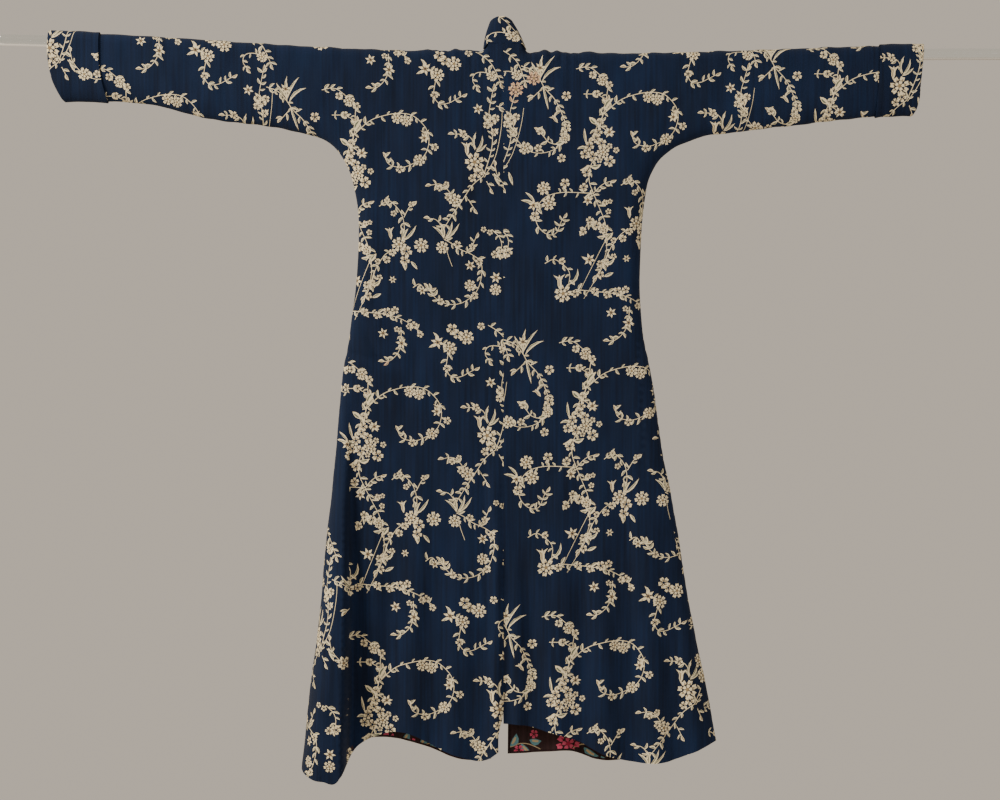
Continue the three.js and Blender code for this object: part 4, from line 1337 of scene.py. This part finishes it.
def front_lining(side):
    """The printed lining of a front: the same hanging shape, moved in, with its print on the inner face."""
    inward = INWARD[side]
    middle_z = np.linspace(LINING_TOP, HEM, 2 * LINE_POINTS)
    below_arm = EDGES[side]["x_at"](middle_z) + inward * gore_inset(side, "front", middle_z)
    outer_x = np.where(middle_z > UNDERARM, ARMHOLE[side], below_arm)
    outer_x = outer_x + inward * turn_radius(middle_z) / 2
    inner_z = np.linspace(HEM, LINING_TOP, LINE_POINTS)
    inner_x = inner_edge("front", side, inner_z) - inward * LINING_INSET
    low_x = np.linspace(outer_x[-1], inner_x[0], LINE_POINTS)
    low_z = HEMS["front"][side](low_x) + LINING_INSET
    keep_outer, keep_inner = middle_z > low_z[0], inner_z > low_z[-1]
    outline = closed(
        view_line("front", outer_x[keep_outer], middle_z[keep_outer]),
        view_line("front", low_x, low_z),
        view_line("front", inner_x[keep_inner], inner_z[keep_inner]),
    )
    sewn = sew(
        f"front_lining_{side}", outline, rose_print,
        lambda flat, depth: hang("front", *flat.T, LINING_LIFT + depth), LINING_CLOTH, lining=True)


COLLAR_ROUND = 22
COLLAR_HEIGHT = 46
COLLAR_CREASE = {"half": 2.4, "depth": 1.1, "fade": 0.4}
COLLAR_WALL = 2.2
COLLAR_STEP = 3


def collar():
    """The standing collar: straight lines from the neck's edge to a narrower rounded top curve, a little
    bulged, with one upright crease at the back."""
    widest = math.pi - math.asin(COLLAR["frontOffset"] / COLLAR["baseHalf"])
    half = widest * COLLAR_ROUND
    corners = [(-half, 0), (half, 0), (half, COLLAR_HEIGHT), (-half, COLLAR_HEIGHT), (-half, 0)]
    outline = closed(resample(corners, COLLAR_STEP))

    def place(flat, depth):
        angle, share = flat[:, 0] / COLLAR_ROUND, np.clip(flat[:, 1] / COLLAR_HEIGHT, 0, 1)
        out_x, out_y = np.sin(angle), -np.cos(angle)
        base_x = NECK["middle"] + COLLAR["baseHalf"] * out_x
        at_back = out_y <= 0
        base_z = np.where(at_back, upper_edge("back", base_x), upper_edge("front", base_x))
        below = np.clip((top_line(base_x) - base_z) / LAYER_DEPTH, 0, 1)
        open_there = np.maximum(mix(1 - (1 - below) ** 2, 1, neck_share(base_x)), 0)
        base_y = np.where(at_back, -1, 1) * np.maximum(LAYER_DEPTH * np.sqrt(open_there), SEAM_GAP / 2)
        base_z = base_z + np.where(at_back, COLLAR["backGap"], COLLAR["frontGap"])
        fall = COLLAR["shoulderFall"] * out_x ** 2 + COLLAR["frontFall"] * np.maximum(0, out_y)
        top_x = COLLAR["topMiddle"] + COLLAR["topHalf"] * out_x
        middle = np.exp(-((flat[:, 0] / COLLAR_CREASE["half"]) ** 2)) * ease(0, COLLAR_CREASE["fade"], share)
        bulge = COLLAR["bulge"] * np.sin(math.pi * share) + COLLAR["cloth"] / 2 - depth
        bulge = bulge - COLLAR_CREASE["depth"] * middle
        return np.stack([
            mix(base_x, top_x, share) + out_x * bulge,
            mix(base_y, COLLAR["topDepth"] * out_y, share) + out_y * bulge,
            mix(base_z, COLLAR["top"] - fall, share),
        ], axis=1)

    sewn = sew("collar", outline, robe_print("left", PRINT_SHIFTS["collar"]), place, COLLAR_WALL, COLLAR_STEP)


ROD_SIDES = 48
ROD_STATIONS = 120
ROD_BEVEL = 1.0
ROD_TIP = 0.01


def grid_faces(rows, columns):
    """Quads of a grid whose columns close into a ring."""
    i, j = np.meshgrid(np.arange(rows - 1), np.arange(columns), indexing="ij")
    here, beside = i * columns + j, i * columns + (j + 1) % columns
    return np.stack([here, here + columns, beside + columns, beside], axis=-1).reshape(-1, 4)


def rod():
    """The rod: a circle carried along its bowed line, whose radius falls over a small bevel at each end, and
    then to almost nothing over the flat end face."""
    inner = np.linspace(-ROD_HALF_LENGTH + ROD_BEVEL, ROD_HALF_LENGTH - ROD_BEVEL, ROD_STATIONS)
    ends = [-ROD_HALF_LENGTH] * 2
    xs = np.concatenate([ends, inner, np.negative(ends)])
    shrink = ROD_RADIUS - ROD_BEVEL
    radii = np.concatenate([[ROD_TIP, shrink], np.full(ROD_STATIONS, ROD_RADIUS), [shrink, ROD_TIP]])
    x, angle = np.meshgrid(xs, full_turn(ROD_SIDES), indexing="ij")
    radius = np.broadcast_to(radii[:, None], x.shape)
    places = np.stack([x, radius * np.cos(angle), rod_height(x) + radius * np.sin(angle)], axis=-1)
    mesh = bpy.data.meshes.new("rod_clear")
    mesh.from_pydata((places.reshape(-1, 3) * MM).tolist(), [], grid_faces(*x.shape).tolist())
    mesh.polygons.foreach_set("use_smooth", np.ones(len(mesh.polygons), bool))
    mesh.materials.append(ROD_FINISH)
    put_piece("rod_clear", mesh, "rod")


# The view and its lights, in metres, watts and, for the lens, millimetres
CAMERA_DISTANCE = 4.0
CAMERA_LENS = 83.7
SENSOR_WIDTH = 36
CLIP = (0.1, 60)
VIEW_MIDDLE = (-0.0052, -0.5835)
WALL_COLOUR = "#c4b9aa"
WALL_LIGHT = 1.0
FLOOR_HEIGHT = -1.75
FLOOR_RADIUS = 2.5
FLOOR_SIDES = 64
LIGHT_AIM = (0, 0, -0.55)

# Name, place, size, power, colour
LIGHTS = [
    ("key", (-3.3, -2.0, 1.5), 1.4, 260, "#fff8ee"),
    ("fill", (2.8, -3.2, -0.2), 2.6, 40, "#f4f6ff"),
]


def set_stage():
    """A plain pale floor well below the robe, a plain wall colour all round, and broad soft lights."""
    rim = polar((0, 0), FLOOR_RADIUS, full_turn(FLOOR_SIDES))
    corners = np.column_stack([rim, np.full(FLOOR_SIDES, FLOOR_HEIGHT)])
    mesh = bpy.data.meshes.new("floor")
    mesh.from_pydata(corners.tolist(), [], [list(range(FLOOR_SIDES))])
    mesh.materials.append(new_material("plain_painted_floor", "#c9c3ba", {"Roughness": 0.7})[0])
    floor = put("floor", mesh)
    world = bpy.data.worlds.new("plain_room")
    world.use_nodes = True
    world.node_tree.nodes.clear()
    wall = {"Color": linear(WALL_COLOUR), "Strength": WALL_LIGHT}
    glow = add(world.node_tree, "ShaderNodeBackground", wall)
    add(world.node_tree, "ShaderNodeOutputWorld", {"Surface": glow.outputs[0]})
    bpy.context.scene.world = world
    for name, place, size, power, colour in LIGHTS:
        light = bpy.data.lights.new(name, "AREA")
        light.shape, light.size, light.energy = "DISK", size, power
        light.color = linear(colour)[:3]
        lamp = put(name, light)
        lamp.location = place
        lamp.rotation_euler = (Vector(LIGHT_AIM) - Vector(place)).to_track_quat("-Z", "Y").to_euler()


def set_camera():
    lens = bpy.data.cameras.new("camera")
    lens.sensor_width, lens.lens = SENSOR_WIDTH, CAMERA_LENS
    lens.clip_start, lens.clip_end = CLIP
    camera = put("camera", lens)
    camera.location = (VIEW_MIDDLE[0], -CAMERA_DISTANCE, VIEW_MIDDLE[1])
    camera.rotation_euler = (math.pi / 2, 0, 0)
    bpy.context.scene.camera = camera


set_camera()
set_stage()
rod()
for half in INWARD:
    body_panel("back", half)
    body_panel("front", half)
    front_lining(half)
    sleeve(half)
    cuff(half)
    gore(half)
collar()
